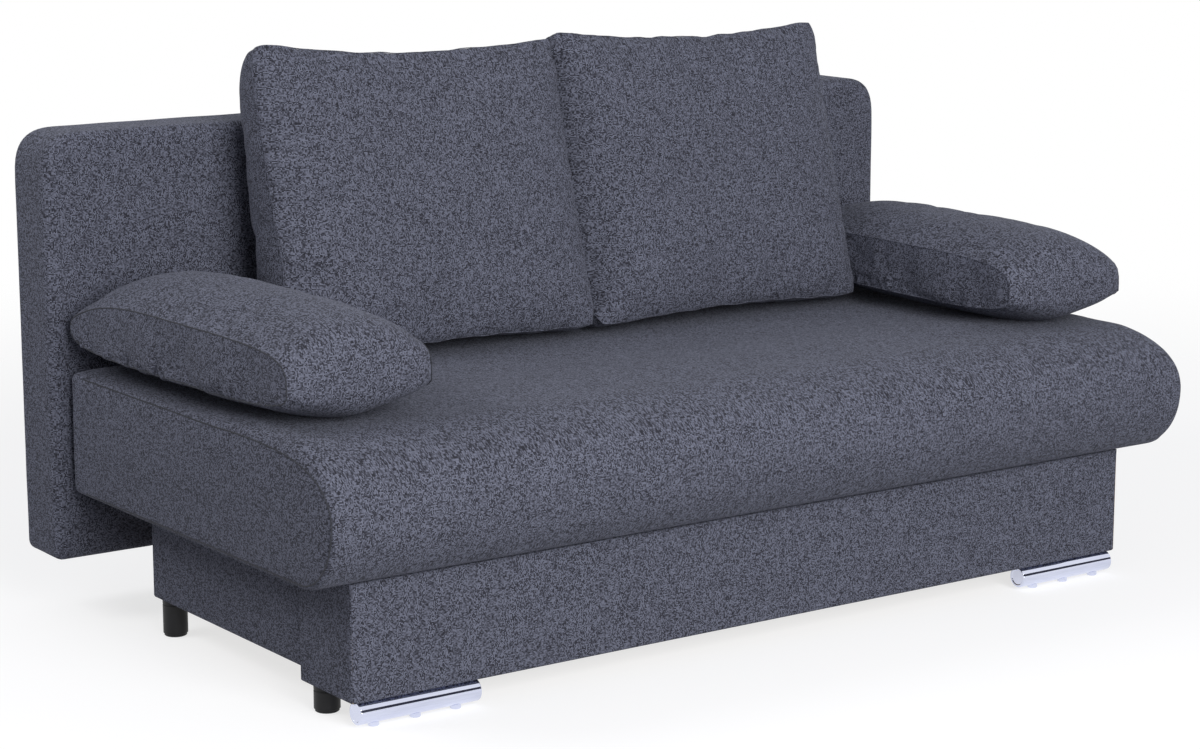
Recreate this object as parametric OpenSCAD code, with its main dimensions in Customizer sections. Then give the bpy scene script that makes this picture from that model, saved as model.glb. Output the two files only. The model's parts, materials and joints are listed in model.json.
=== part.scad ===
// Sofa bed: a pull-out seat on a bedding box, a backrest that folds flat on swing arms,
// and loose back and arm cushions.
// +X runs along the sofa, -Y is its front and +Z is up. The origin is the middle of the
// footprint at floor level. A side of -1 is the left end seen from the front, 1 the right.

/* [Backrest] */
// Length of the backrest, which is the sofa's full length
back_length = 2000; // [1980:10:2200]
// Height of the backrest panel
back_height = 808; // [780:4:840]
// Thickness of the backrest panel
back_thickness = 152; // [148:2:160]
// Height of its bottom edge above the floor
back_bottom = 117; // [110:1:120]
// Radius of its two top corners
back_corner_r = 100; // [40:5:140]

/* [Seat] */
// Length of the seat
seat_length = 1940; // [1900:10:1960]
// Depth of the seat from nose to rear edge
seat_depth = 960; // [940:5:1000]
// Height of its underside above the floor
seat_bottom = 253; // [253:1:258]
// Thickness of the upholstered seat
seat_thickness = 233; // [225:1:240]
// Height of the foremost point of the nose above the underside
nose_height = 124; // [110:1:130]
// Depth of the rounding above the nose
nose_top_run = 300; // [200:5:320]
// Depth of the rounding below the nose
nose_bottom_run = 115; // [80:5:130]
// Slit between the seat and the backrest
back_gap = 10; // [8:1:14]

/* [Underframe] */
// Length of the bedding box
box_length = 1760; // [1756:2:1766]
// Depth of the bedding box
box_depth = 554; // [550:1:556]
// Height of the box's underside
box_bottom = 68; // [60:1:70]
// Height of the box's upper edge
box_top = 245; // [240:1:246]
// Length of the front plinth
plinth_length = 1772; // [1768:2:1780]
// Depth of the front plinth
plinth_depth = 177; // [170:1:180]
// Height of the plinth's underside
plinth_bottom = 46; // [44:1:50]
// How far the plinth's face stands back from the seat's nose
plinth_setback = 91; // [85:1:95]

/* [Feet] */
// Diameter of the chrome bars under the plinth
chrome_foot_d = 40; // [36:1:40]
// Length of a chrome bar
chrome_foot_length = 240; // [230:5:260]
// Distance from the middle of the sofa to the outer end of a bar
chrome_foot_end = 873; // [865:1:880]
// Diameter of the small glides under the bars
glide_d = 20; // [16:1:24]
// Diameter of the black plastic feet
black_foot_d = 46; // [40:1:46]

/* [Back cushions] */
// Width of a back cushion
pillow_width = 665; // [600:5:665]
// Height of a back cushion along its own plane
pillow_height = 590; // [580:1:600]
// How far its front panel bulges from the seam
pillow_front = 109; // [60:1:112]
// How far its rear panel bulges from the seam
pillow_rear = 125; // [100:5:125]
// Backward lean of the back cushions in degrees
pillow_lean = 8; // [7:0.5:8.5]
// How far the pair lies off the middle of the seat, to the right
pillow_shift = 32; // [0:1:33]

/* [Arm cushions] */
// Width of an arm cushion along the sofa
loaf_width = 286; // [240:2:288]
// Length of an arm cushion from front to back
loaf_length = 797; // [700:1:810]
// Height of its crown above the seat
loaf_crown = 198; // [180:1:230]
// Height of its side panels
loaf_side = 146; // [120:1:160]
// How far the left arm cushion is turned with its nose inwards, in degrees
loaf_turn_left = 1.4; // [0:0.1:3]
// How far the right arm cushion is turned with its nose inwards, in degrees
loaf_turn_right = 2.9; // [0:0.1:3]

/* [Mechanism] */
// How far the seat pulls out
pull_out = 250; // [240:1:255]
// Upward swing of the two arms, in degrees
arm_swing = 65; // [62:1:67]
// Slit between seat and backrest when the bed is flat
bed_gap = 14; // [12:1:18]
// Height of the flat backrest's upper face
bed_level = 484; // [482:1:486]
// Diameter of the pivot pins
pin_d = 12; // [10:1:14]

/* [Hidden] */
$fn = 48;

// Colours
fabric_blue = "#565c6e";
timber = "#c9a777";
foam_cream = "#e8dfc2";
steel = "#8b9096";
chrome = "#d4dae8";
black_plastic = "#17181a";

// Stock thicknesses and clearances
board = 16;
skin = 2;            // stretched fabric on a board
padding = 3;         // cover with its fleece on foam
running = 0.05;      // radial clearance of a pin in a swinging part
slide_gap = 0.3;     // clearance under the glide pads

// Where the main blocks lie along Y
total_depth = seat_depth + back_gap + back_thickness;
seat_front = -total_depth / 2;
seat_rear = seat_front + seat_depth;
back_front = seat_rear + back_gap;
back_rear = back_front + back_thickness;
plinth_front = seat_front + plinth_setback;
plinth_rear = plinth_front + plinth_depth;
box_front = plinth_rear + 1;
box_rear = box_front + box_depth;

// Heights
seat_top = seat_bottom + seat_thickness;
back_top = back_bottom + back_height;

// Bedding box
box_end = box_length / 2;
box_inner = box_end - skin - board;
floor_top = box_bottom + 8;
front_panel_top = 200;
rail_z = 205;
rail_lip = 24;
rail_web_height = 35;
rail_steel = 2;
runner_thickness = 18;
runner_x = box_inner - 4 - runner_thickness;
pad_thickness = 2;

// Front plinth
plinth_end = plinth_length / 2;
plinth_bolt_x = [200, 600];
plinth_bolt_y = plinth_rear - 99;

// Feet
chrome_foot_y = plinth_front + 14;
chrome_foot_z = plinth_bottom - chrome_foot_d / 2;
chrome_bolt_offsets = [58, 182];
chrome_screw_r = 3;
chrome_screw_up = 50;
glide_offsets = [35, 117, 198];
black_foot_r = black_foot_d / 2;
plinth_foot_at = [plinth_end - 26, plinth_rear - 48];
box_foot_points = [
    [box_inner - 7, box_rear - 38], [-box_inner + 7, box_rear - 38],
    [550, box_front + 38], [-550, box_front + 38]
];
bolt_r = 4;

// Seat interior
cavity_end = seat_length / 2 - 43;
cavity_front = seat_front + 134;
cavity_rear = seat_rear - 12;
frame_bottom = seat_bottom + padding;
frame_height = 44;
frame_rail = 45;
slat_top = frame_bottom + frame_height + 6;
spring_height = 120;
spring_r = 45;
spring_pitch = 113;
spring_columns = 16;
spring_rows = 7;

// Swing arms: the back pivot is set by its place in the backrest, and the arm pivot is the
// centre of the circle on which the back pivot swings between the sofa and the bed position.
function turn(v, a) = [v[0] * cos(a) - v[1] * sin(a), v[0] * sin(a) + v[1] * cos(a)];
back_pivot_in = 120;
back_pivot_up = 45;
back_pivot = [back_front + back_pivot_in, back_bottom + back_pivot_up];
back_pivot_flat = [seat_rear + bed_gap + back_pivot_up, bed_level - back_pivot_in];
chord = back_pivot_flat - back_pivot;
arm_radius = norm(chord) / 2 / sin(arm_swing / 2);
arm_pivot = (back_pivot + back_pivot_flat) / 2
    + [-chord[1], chord[0]] / norm(chord) * arm_radius * cos(arm_swing / 2);
elbow_flat = [seat_rear + 30, seat_bottom - 21];
elbow = arm_pivot + turn(elbow_flat - arm_pivot, -arm_swing);
arm_x = 780;
arm_thickness = 8;
arm_width = 28;
ear_gap = 28;
ear_thickness = 4;
ear_outer = ear_gap / 2 + ear_thickness;
slot_height = 78;
pin_r = pin_d / 2;

// Backrest interior
back_end = back_length / 2;
back_frame_front = back_front + 29;
back_frame_rear = back_rear - padding - 4;
back_board = 22;
frame_in = padding + 9;
post_width = 40;
post_height = 190;
recess_end = 450;
recess_z = [440, 830];
tray_wall = 4;
tray_y = back_rear - 31;

// Fold-out leg of the backrest
leg_pivot = [back_rear - 13, 800];
leg_x = 400;
leg_r = 9;
leg_pin_r = 3;
leg_flat_z = bed_level - back_thickness + (back_rear - leg_pivot[0]);
floor_gap = 1.5;
leg_reach = leg_flat_z - floor_gap;
cap_r = 11;
cap_height = 20;

// Loose cushions
shell = 3;
pillow_x = 2 + pillow_width / 2;
pillow_y = seat_rear - 131;   // the seam's height-wise middle
pillow_steps = 7;
side_pull = 0.015;            // how far the side edges draw in between the corners
top_pull = 0.10;
bottom_pull = 0.05;
loaf_inner = [685, 709];       // inner edge of the left and of the right arm cushion
loaf_rear = back_front - 9;
loaf_stations = 6;
loaf_points = 32;
rest_gap = 1;                 // clearance of a loose cushion above the seat

// ---------- helpers ----------

// Box between two limits on each axis
module slab(x, y, z) {
    translate([x[0], y[0], z[0]]) cube([x[1] - x[0], y[1] - y[0], z[1] - z[0]]);
}

// Right-hand parts are drawn as they are, left-hand ones mirrored
module on_side(side) {
    if (side > 0) children();
    else mirror([1, 0, 0]) children();
}

module both_sides() {
    for (side = [-1, 1]) on_side(side) children();
}

// Extrudes a shape drawn in Y and Z along X
module extrude_x(x) {
    translate([x[0], 0, 0]) rotate([90, 0, 90]) linear_extrude(x[1] - x[0]) children();
}

// Extrudes a shape drawn in X and Z along Y
module extrude_y(y) {
    translate([0, y[1], 0]) rotate([90, 0, 0]) linear_extrude(y[1] - y[0]) children();
}

// Rod along X through the point at = [y, z]
module rod_x(x, at, r) {
    translate([x[0], at[0], at[1]]) rotate([0, 90, 0]) cylinder(r = r, h = x[1] - x[0]);
}

module upright_rod(at, z, r) {
    translate([at[0], at[1], z[0]]) cylinder(r = r, h = z[1] - z[0]);
}

// Flat bar between two points of the Y-Z plane
module bar(from, to, width) {
    run = to - from;
    translate(from) rotate(atan2(run[1], run[0])) translate([0, -width / 2])
        square([norm(run), width]);
}

function arc(centre, r, a0, a1, n) =
    [for (i = [0:n]) centre + r * [cos(a0 + (a1 - a0) * i / n), sin(a0 + (a1 - a0) * i / n)]];

// Signed power, which turns an ellipse into a squarer one
function spow(v, e) = sign(v) * pow(abs(v), e);

// ---------- bedding box ----------

module box_side(side) {
    color(timber) on_side(side)
        slab([box_inner, box_end - skin], [box_front + skin, box_rear - skin],
            [box_bottom + skin, box_top]);
}

module box_fabric() {
    color(fabric_blue) both_sides() difference() {
        slab([box_inner, box_end], [box_front, box_rear], [box_bottom, box_top]);
        slab([box_inner - 1, box_end - skin], [box_front + skin, box_rear - skin],
            [box_bottom + skin, box_top + 1]);
    }
}

module box_front_panel() {
    color(timber) slab([-box_inner, box_inner],
        [box_front + skin, box_front + skin + board], [box_bottom, front_panel_top]);
}

// The notches let the swing arms and their brackets pass as the seat pulls out
module box_rear_panel() {
    color(timber) difference() {
        slab([-box_inner, box_inner],
            [box_rear - skin - board, box_rear - skin], [box_bottom, box_top]);
        both_sides() slab([arm_x - 28, arm_x + 28], [box_rear - 30, box_rear + 10],
            [158, box_top + 1]);
    }
}

module box_floor() {
    color(timber) difference() {
        slab([-box_inner, box_inner], [box_front + skin + board, box_rear - skin - board],
            [box_bottom, floor_top]);
        for (p = box_foot_points) upright_rod(p, [box_bottom - 1, floor_top + 1], bolt_r);
    }
}

module box_front_rail() {
    color(timber) difference() {
        slab([-box_inner + 42, box_inner - 42],
            [box_front + skin + board, box_front + skin + board + 40],
            [floor_top, floor_top + 30]);
        for (p = box_foot_points) upright_rod(p, [floor_top - 1, floor_top + 24], bolt_r);
    }
}

module box_corner_blocks() {
    color(timber) both_sides() for (rear = [false, true])
        let (y = rear ? box_rear - skin - board - 40 : box_front + skin + board)
        difference() {
            slab([box_inner - 40, box_inner], [y, y + 40], [floor_top, 180]);
            if (rear) upright_rod(box_foot_points[0], [floor_top - 1, floor_top + 24], bolt_r);
        }
}

module guide_rail(side) {
    color(steel) on_side(side) {
        slab([box_inner - rail_steel, box_inner], [box_front + 22, box_rear - 22],
            [rail_z, rail_z + rail_web_height]);
        slab([box_inner - rail_lip, box_inner - rail_steel], [box_front + 22, box_rear - 22],
            [rail_z, rail_z + rail_steel]);
    }
}

module black_foot(at, height) {
    upright_rod(at, [0, 4], black_foot_r - 2);
    difference() {
        upright_rod(at, [4, height], black_foot_r);
        upright_rod(at, [height - 20, height + 1], bolt_r);
    }
}

module box_feet() {
    color(black_plastic) for (p = box_foot_points) black_foot(p, box_bottom);
}

module box_foot_bolts() {
    color(steel) for (p = box_foot_points)
        upright_rod(p, [box_bottom - 20, floor_top + 24], bolt_r);
}

// ---------- front plinth and its feet ----------

module plinth_block(inset, z) {
    slab([-plinth_end + inset, plinth_end - inset],
        [plinth_front + inset, plinth_rear - inset], z);
}

module at_plinth_bolts() {
    both_sides() for (x = plinth_bolt_x) translate([x, plinth_bolt_y, 0]) children();
}

module at_chrome_bolts() {
    both_sides() for (offset = chrome_bolt_offsets)
        translate([chrome_foot_end - offset, chrome_foot_y, 0]) children();
}

module plinth_frame() {
    color(timber) difference() {
        plinth_block(skin, [plinth_bottom + skin + board, seat_bottom - board]);
        plinth_block(skin + board, [plinth_bottom, seat_bottom]);
        at_chrome_bolts() cylinder(r = chrome_screw_r, h = plinth_bottom + chrome_screw_up);
    }
}

module plinth_base_board() {
    z = plinth_bottom + skin;
    color(timber) difference() {
        plinth_block(skin, [z, z + board]);
        at_chrome_bolts() cylinder(r = chrome_screw_r, h = 200);
        both_sides() upright_rod(plinth_foot_at, [z - 1, z + 200], bolt_r);
    }
}

module plinth_top_board() {
    color(timber) difference() {
        plinth_block(skin, [seat_bottom - board, seat_bottom]);
        at_plinth_bolts() cylinder(r = bolt_r, h = 400);
    }
}

module plinth_fabric() {
    wrap = 24;
    color(fabric_blue) difference() {
        plinth_block(0, [plinth_bottom, seat_bottom]);
        plinth_block(skin, [plinth_bottom + skin, seat_bottom + 1]);
        plinth_block(wrap, [plinth_bottom - 1, plinth_bottom + skin + 1]);
        at_chrome_bolts() cylinder(r = chrome_screw_r, h = 60);
        both_sides() upright_rod(plinth_foot_at, [40, 60], bolt_r);
    }
}

module plinth_bolts() {
    color(steel) at_plinth_bolts() {
        translate([0, 0, seat_bottom - board - 6]) cylinder(r = 2 * bolt_r, h = 6);
        translate([0, 0, seat_bottom - board]) cylinder(r = bolt_r, h = board + 40);
    }
}

// Round bar with a narrow bevel at each end
module chrome_foot(side) {
    r = chrome_foot_d / 2;
    bevel = 1.2;
    color(chrome) on_side(side) difference() {
        translate([chrome_foot_end - chrome_foot_length, chrome_foot_y, chrome_foot_z])
            rotate([0, 90, 0]) rotate_extrude() polygon([
                [0, 0], [r - bevel, 0], [r, bevel], [r, chrome_foot_length - bevel],
                [r - bevel, chrome_foot_length], [0, chrome_foot_length]
            ]);
        for (offset = chrome_bolt_offsets)
            upright_rod([chrome_foot_end - offset, chrome_foot_y],
                [plinth_bottom - 14, plinth_bottom + 1], chrome_screw_r);
    }
}

module chrome_foot_glides() {
    color(chrome) both_sides() difference() {
        for (offset = glide_offsets)
            upright_rod([chrome_foot_end - offset, chrome_foot_y], [0, 10], glide_d / 2);
        rod_x([chrome_foot_end - chrome_foot_length, chrome_foot_end],
            [chrome_foot_y, chrome_foot_z], chrome_foot_d / 2);
    }
}

// Double-ended screws that go from each bar into the plinth's front panel
module chrome_foot_bolts() {
    color(steel) at_chrome_bolts() translate([0, 0, plinth_bottom - 14])
        cylinder(r = chrome_screw_r, h = 14 + chrome_screw_up);
}

// The bolt of a plinth foot is moulded in with it
module plinth_feet() {
    color(black_plastic) both_sides() {
        upright_rod(plinth_foot_at, [0, 4], black_foot_r - 2);
        upright_rod(plinth_foot_at, [4, plinth_bottom], black_foot_r);
        upright_rod(plinth_foot_at, [plinth_bottom, plinth_bottom + skin + board + 4], bolt_r);
    }
}

// ---------- seat ----------

// Side outline of the seat: a deep rounding above the nose, a tighter one below it
function nose(run, rise, squareness, sweep) = [
    for (i = [0:14]) let (a = 90 * (sweep ? i : 14 - i) / 14)
        [run * (1 - spow(cos(a), 2 / squareness)), rise * spow(sin(a), 2 / squareness)]
];

function seat_outline(inset) = let (
        tip = [seat_front + inset, seat_bottom + nose_height],
        upper = nose(nose_top_run, seat_thickness - nose_height - inset, 2.4, true),
        lower = nose(nose_bottom_run, nose_height - inset, 2, false)
    ) concat(
        [[seat_rear - inset, seat_top - inset], [seat_rear - inset, seat_bottom + inset]],
        [for (p = lower) tip + [p[0], -p[1]]],
        [for (i = [1:14]) tip + upper[i]]
    );

module seat_block(inset) {
    end = seat_length / 2 - inset;
    extrude_x([-end, end]) polygon(seat_outline(inset));
}

module seat_cavity(height, slack) {
    slab([-cavity_end - slack, cavity_end + slack], [cavity_front - slack, cavity_rear + slack],
        [seat_bottom - 1, height]);
}

module seat_cover() {
    color(fabric_blue) difference() {
        seat_block(0);
        seat_block(padding);
        slab([-cavity_end + 22, cavity_end - 22], [cavity_front + 20, cavity_rear - 22],
            [seat_bottom - 1, seat_bottom + padding + 1]);
    }
}

module seat_foam() {
    color(foam_cream) difference() {
        seat_block(padding);
        seat_cavity(slat_top + spring_height + 2, 0);
    }
}

module seat_frame() {
    x = cavity_end - 2;
    y = [cavity_front + 2, cavity_rear - 2];
    z = [frame_bottom, frame_bottom + frame_height];
    color(timber) difference() {
        union() {
            slab([-x, x], [y[0], y[0] + frame_rail], z);
            slab([-x, x], [y[1] - frame_rail, y[1]], z);
            for (beam = [-x + frame_rail / 2, -arm_x, -300, 300, arm_x, x - frame_rail / 2])
                let (half = abs(beam) == arm_x ? 35 : frame_rail / 2)
                slab([beam - half, beam + half], y, z);
        }
        at_plinth_bolts() cylinder(r = bolt_r, h = seat_bottom + 40);
        at_bracket_screws() cylinder(r = bolt_r, h = frame_bottom + 30);
    }
}

module seat_slat_board() {
    color(timber) slab([-cavity_end + 2, cavity_end - 2], [cavity_front + 2, cavity_rear - 2],
        [frame_bottom + frame_height, slat_top]);
}

// Pocketed springs, each drawn as its full pocket
module seat_springs() {
    middle = (cavity_front + cavity_rear) / 2;
    color("#f2f0ea") for (i = [0:spring_columns - 1], j = [0:spring_rows - 1])
        upright_rod([(i - (spring_columns - 1) / 2) * spring_pitch,
            middle + (j - (spring_rows - 1) / 2) * spring_pitch],
            [slat_top, slat_top + spring_height], spring_r);
}

module seat_runner(side) {
    color(timber) on_side(side)
        slab([runner_x, runner_x + runner_thickness], [plinth_rear + 3, box_rear - 26],
            [rail_z + rail_steel + slide_gap + pad_thickness, frame_bottom]);
}

module seat_glide_pads() {
    z = rail_z + rail_steel + slide_gap;
    color(black_plastic) both_sides() for (y = [box_rear - 112, box_rear - 202])
        slab([runner_x, runner_x + runner_thickness], [y, y + 60], [z, z + pad_thickness]);
}

// ---------- swing arms and their pivots ----------

module at_bracket_screws() {
    both_sides() for (x = [-30, 30], y = [-28, 14])
        translate([arm_x + x, arm_pivot[0] + y, 0]) children();
}

module ear_pair() {
    for (x = [-ear_outer, ear_outer - ear_thickness])
        extrude_x([arm_x + x, arm_x + x + ear_thickness]) children();
}

module arm_bracket(side) {
    y = arm_pivot[0];
    color(steel) on_side(side) difference() {
        union() {
            slab([arm_x - 40, arm_x + 40], [y - 40, y + 26], [frame_bottom - 4, frame_bottom]);
            ear_pair() {
                translate(arm_pivot) circle(r = 20);
                translate([y - 20, arm_pivot[1]]) square([40, frame_bottom - 4 - arm_pivot[1]]);
            }
        }
        rod_x([arm_x - 30, arm_x + 30], arm_pivot, pin_r);
        for (x = [-30, 30], dy = [-28, 14])
            upright_rod([arm_x + x, y + dy], [frame_bottom - 10, frame_bottom + 1], bolt_r);
    }
}

module bracket_screws() {
    color(steel) at_bracket_screws() {
        translate([0, 0, frame_bottom - 7]) cylinder(r = 7, h = 3);
        translate([0, 0, frame_bottom - 4]) cylinder(r = bolt_r, h = 34);
    }
}

module bush_pair(at) {
    side_gap = (ear_gap - arm_thickness) / 2 - 0.4;
    for (x = [-ear_gap / 2, ear_gap / 2 - side_gap]) difference() {
        rod_x([arm_x + x, arm_x + x + side_gap], at, pin_r + 4);
        rod_x([arm_x + x - 1, arm_x + x + side_gap + 1], at, pin_r);
    }
}

module lower_pivot_pins() {
    color(steel) both_sides() {
        rod_x([arm_x - ear_outer, arm_x + ear_outer], arm_pivot, pin_r);
        rod_x([arm_x - ear_outer - 4, arm_x - ear_outer], arm_pivot, pin_r + 3);
        rod_x([arm_x + ear_outer, arm_x + ear_outer + 4], arm_pivot, pin_r + 3);
    }
}

module lower_pivot_bushes() {
    color(black_plastic) both_sides() bush_pair(arm_pivot);
}

// Bent flat arm: it passes under the seat's rear edge and then rises behind it
module swing_arm(side) {
    color(steel) on_side(side)
        extrude_x([arm_x - arm_thickness / 2, arm_x + arm_thickness / 2]) difference() {
            union() {
                bar(arm_pivot, elbow, arm_width);
                bar(elbow, back_pivot, arm_width);
                translate(elbow) circle(r = arm_width / 2 + 3);
                translate(arm_pivot) circle(r = 17);
                translate(back_pivot) circle(r = 17);
            }
            translate(arm_pivot) circle(r = pin_r + running);
            translate(back_pivot) circle(r = pin_r + running);
        }
}

// ---------- backrest ----------

// Front view of the backrest: large radii at the top, small ones at the bottom
module back_outline(inset) {
    end = back_end - inset;
    top_r = back_corner_r - inset;
    foot_r = max(18 - inset, 1);
    z = [back_bottom + inset, back_top - inset];
    polygon(concat(
        arc([end - top_r, z[1] - top_r], top_r, 0, 90, 16),
        arc([-end + top_r, z[1] - top_r], top_r, 90, 180, 16),
        arc([-end + foot_r, z[0] + foot_r], foot_r, 180, 270, 6),
        arc([end - foot_r, z[0] + foot_r], foot_r, 270, 360, 6)
    ));
}

// Slots in the lower edge where the swing arms enter
module arm_slots() {
    both_sides() slab([arm_x - ear_outer, arm_x + ear_outer], [back_front - 1, back_rear + 1],
        [back_bottom - 1, back_bottom + slot_height]);
}

module recess_window(y) {
    slab([-recess_end, recess_end], y, recess_z);
}

module back_cover() {
    color(fabric_blue) difference() {
        extrude_y([back_front, back_rear]) back_outline(0);
        extrude_y([back_front + padding, back_rear - padding]) back_outline(padding);
        arm_slots();
        recess_window([back_rear - 10, back_rear + 1]);
    }
}

// A slab in front of the timber frame and a band round it
module back_foam() {
    color(foam_cream) difference() {
        extrude_y([back_front + padding, back_frame_rear]) back_outline(padding);
        extrude_y([back_frame_front - 2, back_rear]) back_outline(frame_in);
        arm_slots();
    }
}

module back_webbing() {
    color("#3a3a3a") for (z = [290:110:860])
        slab([-back_end + 40, back_end - 40], [back_frame_front - 2, back_frame_front],
            [z - 30, z + 30]);
}

module back_frame() {
    y = [back_frame_front, back_frame_rear];
    low = back_bottom + frame_in + back_board;
    high = back_top - frame_in - back_board;
    post = 469;
    color(timber) difference() {
        union() {
            difference() {
                extrude_y(y) back_outline(frame_in);
                extrude_y([y[0] - 1, y[1] + 1]) back_outline(frame_in + back_board);
            }
            both_sides() {
                slab([arm_x - ear_outer - post_width, arm_x + ear_outer + post_width], y,
                    [low, low + post_height]);
                slab([post, post + back_board], y, [low, high]);
            }
            for (z = [recess_z[0] - tray_wall - back_board, recess_z[1] + tray_wall])
                slab([-post, post], y, [z, z + back_board]);
        }
        arm_slots();
        both_sides() rod_x([arm_x - 40, arm_x + 40], back_pivot, pin_r);
    }
}

module back_rear_board() {
    color(timber) difference() {
        extrude_y([back_frame_rear, back_rear - padding]) back_outline(frame_in + 6);
        arm_slots();
        recess_window([back_frame_rear - 1, back_rear]);
    }
}

module hinge_plate(side) {
    color(steel) on_side(side) difference() {
        ear_pair() translate([back_pivot[0] - 60, back_bottom + padding])
            square([back_frame_rear - back_pivot[0] + 60, slot_height - padding]);
        rod_x([arm_x - 30, arm_x + 30], back_pivot, pin_r);
    }
}

module upper_pivot_pins() {
    color(steel) both_sides() rod_x([arm_x - 40, arm_x + 40], back_pivot, pin_r);
}

module upper_pivot_bushes() {
    color(black_plastic) both_sides() bush_pair(back_pivot);
}

// ---------- fold-out leg behind the backrest ----------

module leg_recess_tray() {
    color(black_plastic) difference() {
        slab([-recess_end - tray_wall, recess_end + tray_wall], [tray_y, back_frame_rear],
            [recess_z[0] - tray_wall, recess_z[1] + tray_wall]);
        slab([-recess_end, recess_end], [tray_y + tray_wall, back_rear], recess_z);
    }
}

module leg_brackets() {
    color(steel) both_sides() for (x = [leg_x - leg_r - 5, leg_x + leg_r + 1]) difference() {
        extrude_x([x, x + 4]) {
            translate(leg_pivot) circle(r = 11);
            translate([tray_y + tray_wall, leg_pivot[1] - 11])
                square([leg_pivot[0] - tray_y - tray_wall, 22]);
        }
        rod_x([x - 1, x + 5], leg_pivot, leg_pin_r);
    }
}

module leg_pins() {
    color(steel) both_sides()
        rod_x([leg_x - leg_r - 7, leg_x + leg_r + 7], leg_pivot, leg_pin_r);
}

// Two uprights and a cross tube that hang from the brackets and stand on the floor in bed mode
module support_leg() {
    foot_z = leg_pivot[1] - leg_reach;
    color(steel) difference() {
        union() {
            both_sides() upright_rod([leg_x, leg_pivot[0]], [foot_z + 3, leg_pivot[1] + leg_r],
                leg_r);
            rod_x([-leg_x, leg_x], [leg_pivot[0], foot_z + 45], leg_r - 1);
        }
        rod_x([-leg_x - 20, leg_x + 20], leg_pivot, leg_pin_r + running);
    }
}

module leg_caps() {
    foot_z = leg_pivot[1] - leg_reach;
    color(black_plastic) both_sides() difference() {
        upright_rod([leg_x, leg_pivot[0]], [foot_z, foot_z + cap_height], cap_r);
        upright_rod([leg_x, leg_pivot[0]], [foot_z + 3, foot_z + cap_height + 1], leg_r);
    }
}

// ---------- loose cushions ----------

// Grid place i of 2n + 1, from -1 to 1, closer together towards the edges
function spread(i, n) = sin(90 * (i - n) / n);

// Fullness across a pillow: 1 in the middle, 0 at the seam
function fullness(q, squareness) = sqrt(1 - pow(abs(q), squareness));

// A two-panel pillow that stands in X and Z. Its front is squarer than its rear, its edges draw
// in between the corners, and the filling has sunk a little towards the seat.
module pillow(inset) {
    n = pillow_steps;
    side = 2 * n + 1;
    inner = side - 2;
    half = [pillow_width / 2 - 2 * inset, pillow_height / 2 - 2 * inset];
    depth = [pillow_front - inset, pillow_rear - inset];
    rim = function(i, j) i == 0 || j == 0 || i == side - 1 || j == side - 1;
    front = function(i, j) i * side + j;
    rear = function(i, j) rim(i, j) ? front(i, j) : side * side + (i - 1) * inner + j - 1;
    place = function(i, j, way) let (
            u = spread(i, n),
            v = spread(j, n),
            bulge = way > 0 ? depth[1] * fullness(u, 10) * fullness(v, 3.3)
                : -depth[0] * (1 - 0.36 * v) * fullness(u, 12) * fullness(v, v > 0 ? 8 : 10)
        ) [
            half[0] * u * (1 - side_pull * (1 - v * v)),
            bulge,
            half[1] * v * (1 - (v > 0 ? top_pull : bottom_pull) * (1 - u * u))
        ];
    // the two triangles of a cell meet along a diagonal that never joins two points of the rim
    corner = function(i, j) (i < n) == (j < n)
        ? [[[i, j], [i, j + 1], [i + 1, j + 1]], [[i, j], [i + 1, j + 1], [i + 1, j]]]
        : [[[i, j], [i, j + 1], [i + 1, j]], [[i, j + 1], [i + 1, j + 1], [i + 1, j]]];
    triangles = [for (i = [0:side - 2], j = [0:side - 2], t = corner(i, j)) t];
    polyhedron(
        points = concat(
            [for (i = [0:side - 1], j = [0:side - 1]) place(i, j, -1)],
            [for (i = [1:side - 2], j = [1:side - 2]) place(i, j, 1)]
        ),
        faces = concat(
            [for (t = triangles) [for (p = t) front(p[0], p[1])]],
            [for (t = triangles) [for (k = [2, 1, 0]) rear(t[k][0], t[k][1])]]
        )
    );
}

// Leans the pillow back so that it stands on the seat and touches the backrest with its rear
module in_back_cushion_place(side) {
    drop = pillow_height / 2 * cos(pillow_lean);
    translate([side * pillow_x + pillow_shift, pillow_y, seat_top + rest_gap + drop])
        rotate([-pillow_lean, 0, 0]) children();
}

module back_cushion_cover(side) {
    color(fabric_blue) in_back_cushion_place(side) difference() {
        pillow(0);
        pillow(shell);
    }
}

module back_cushion_filling(side) {
    color(foam_cream) in_back_cushion_place(side) pillow(shell);
}

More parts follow.
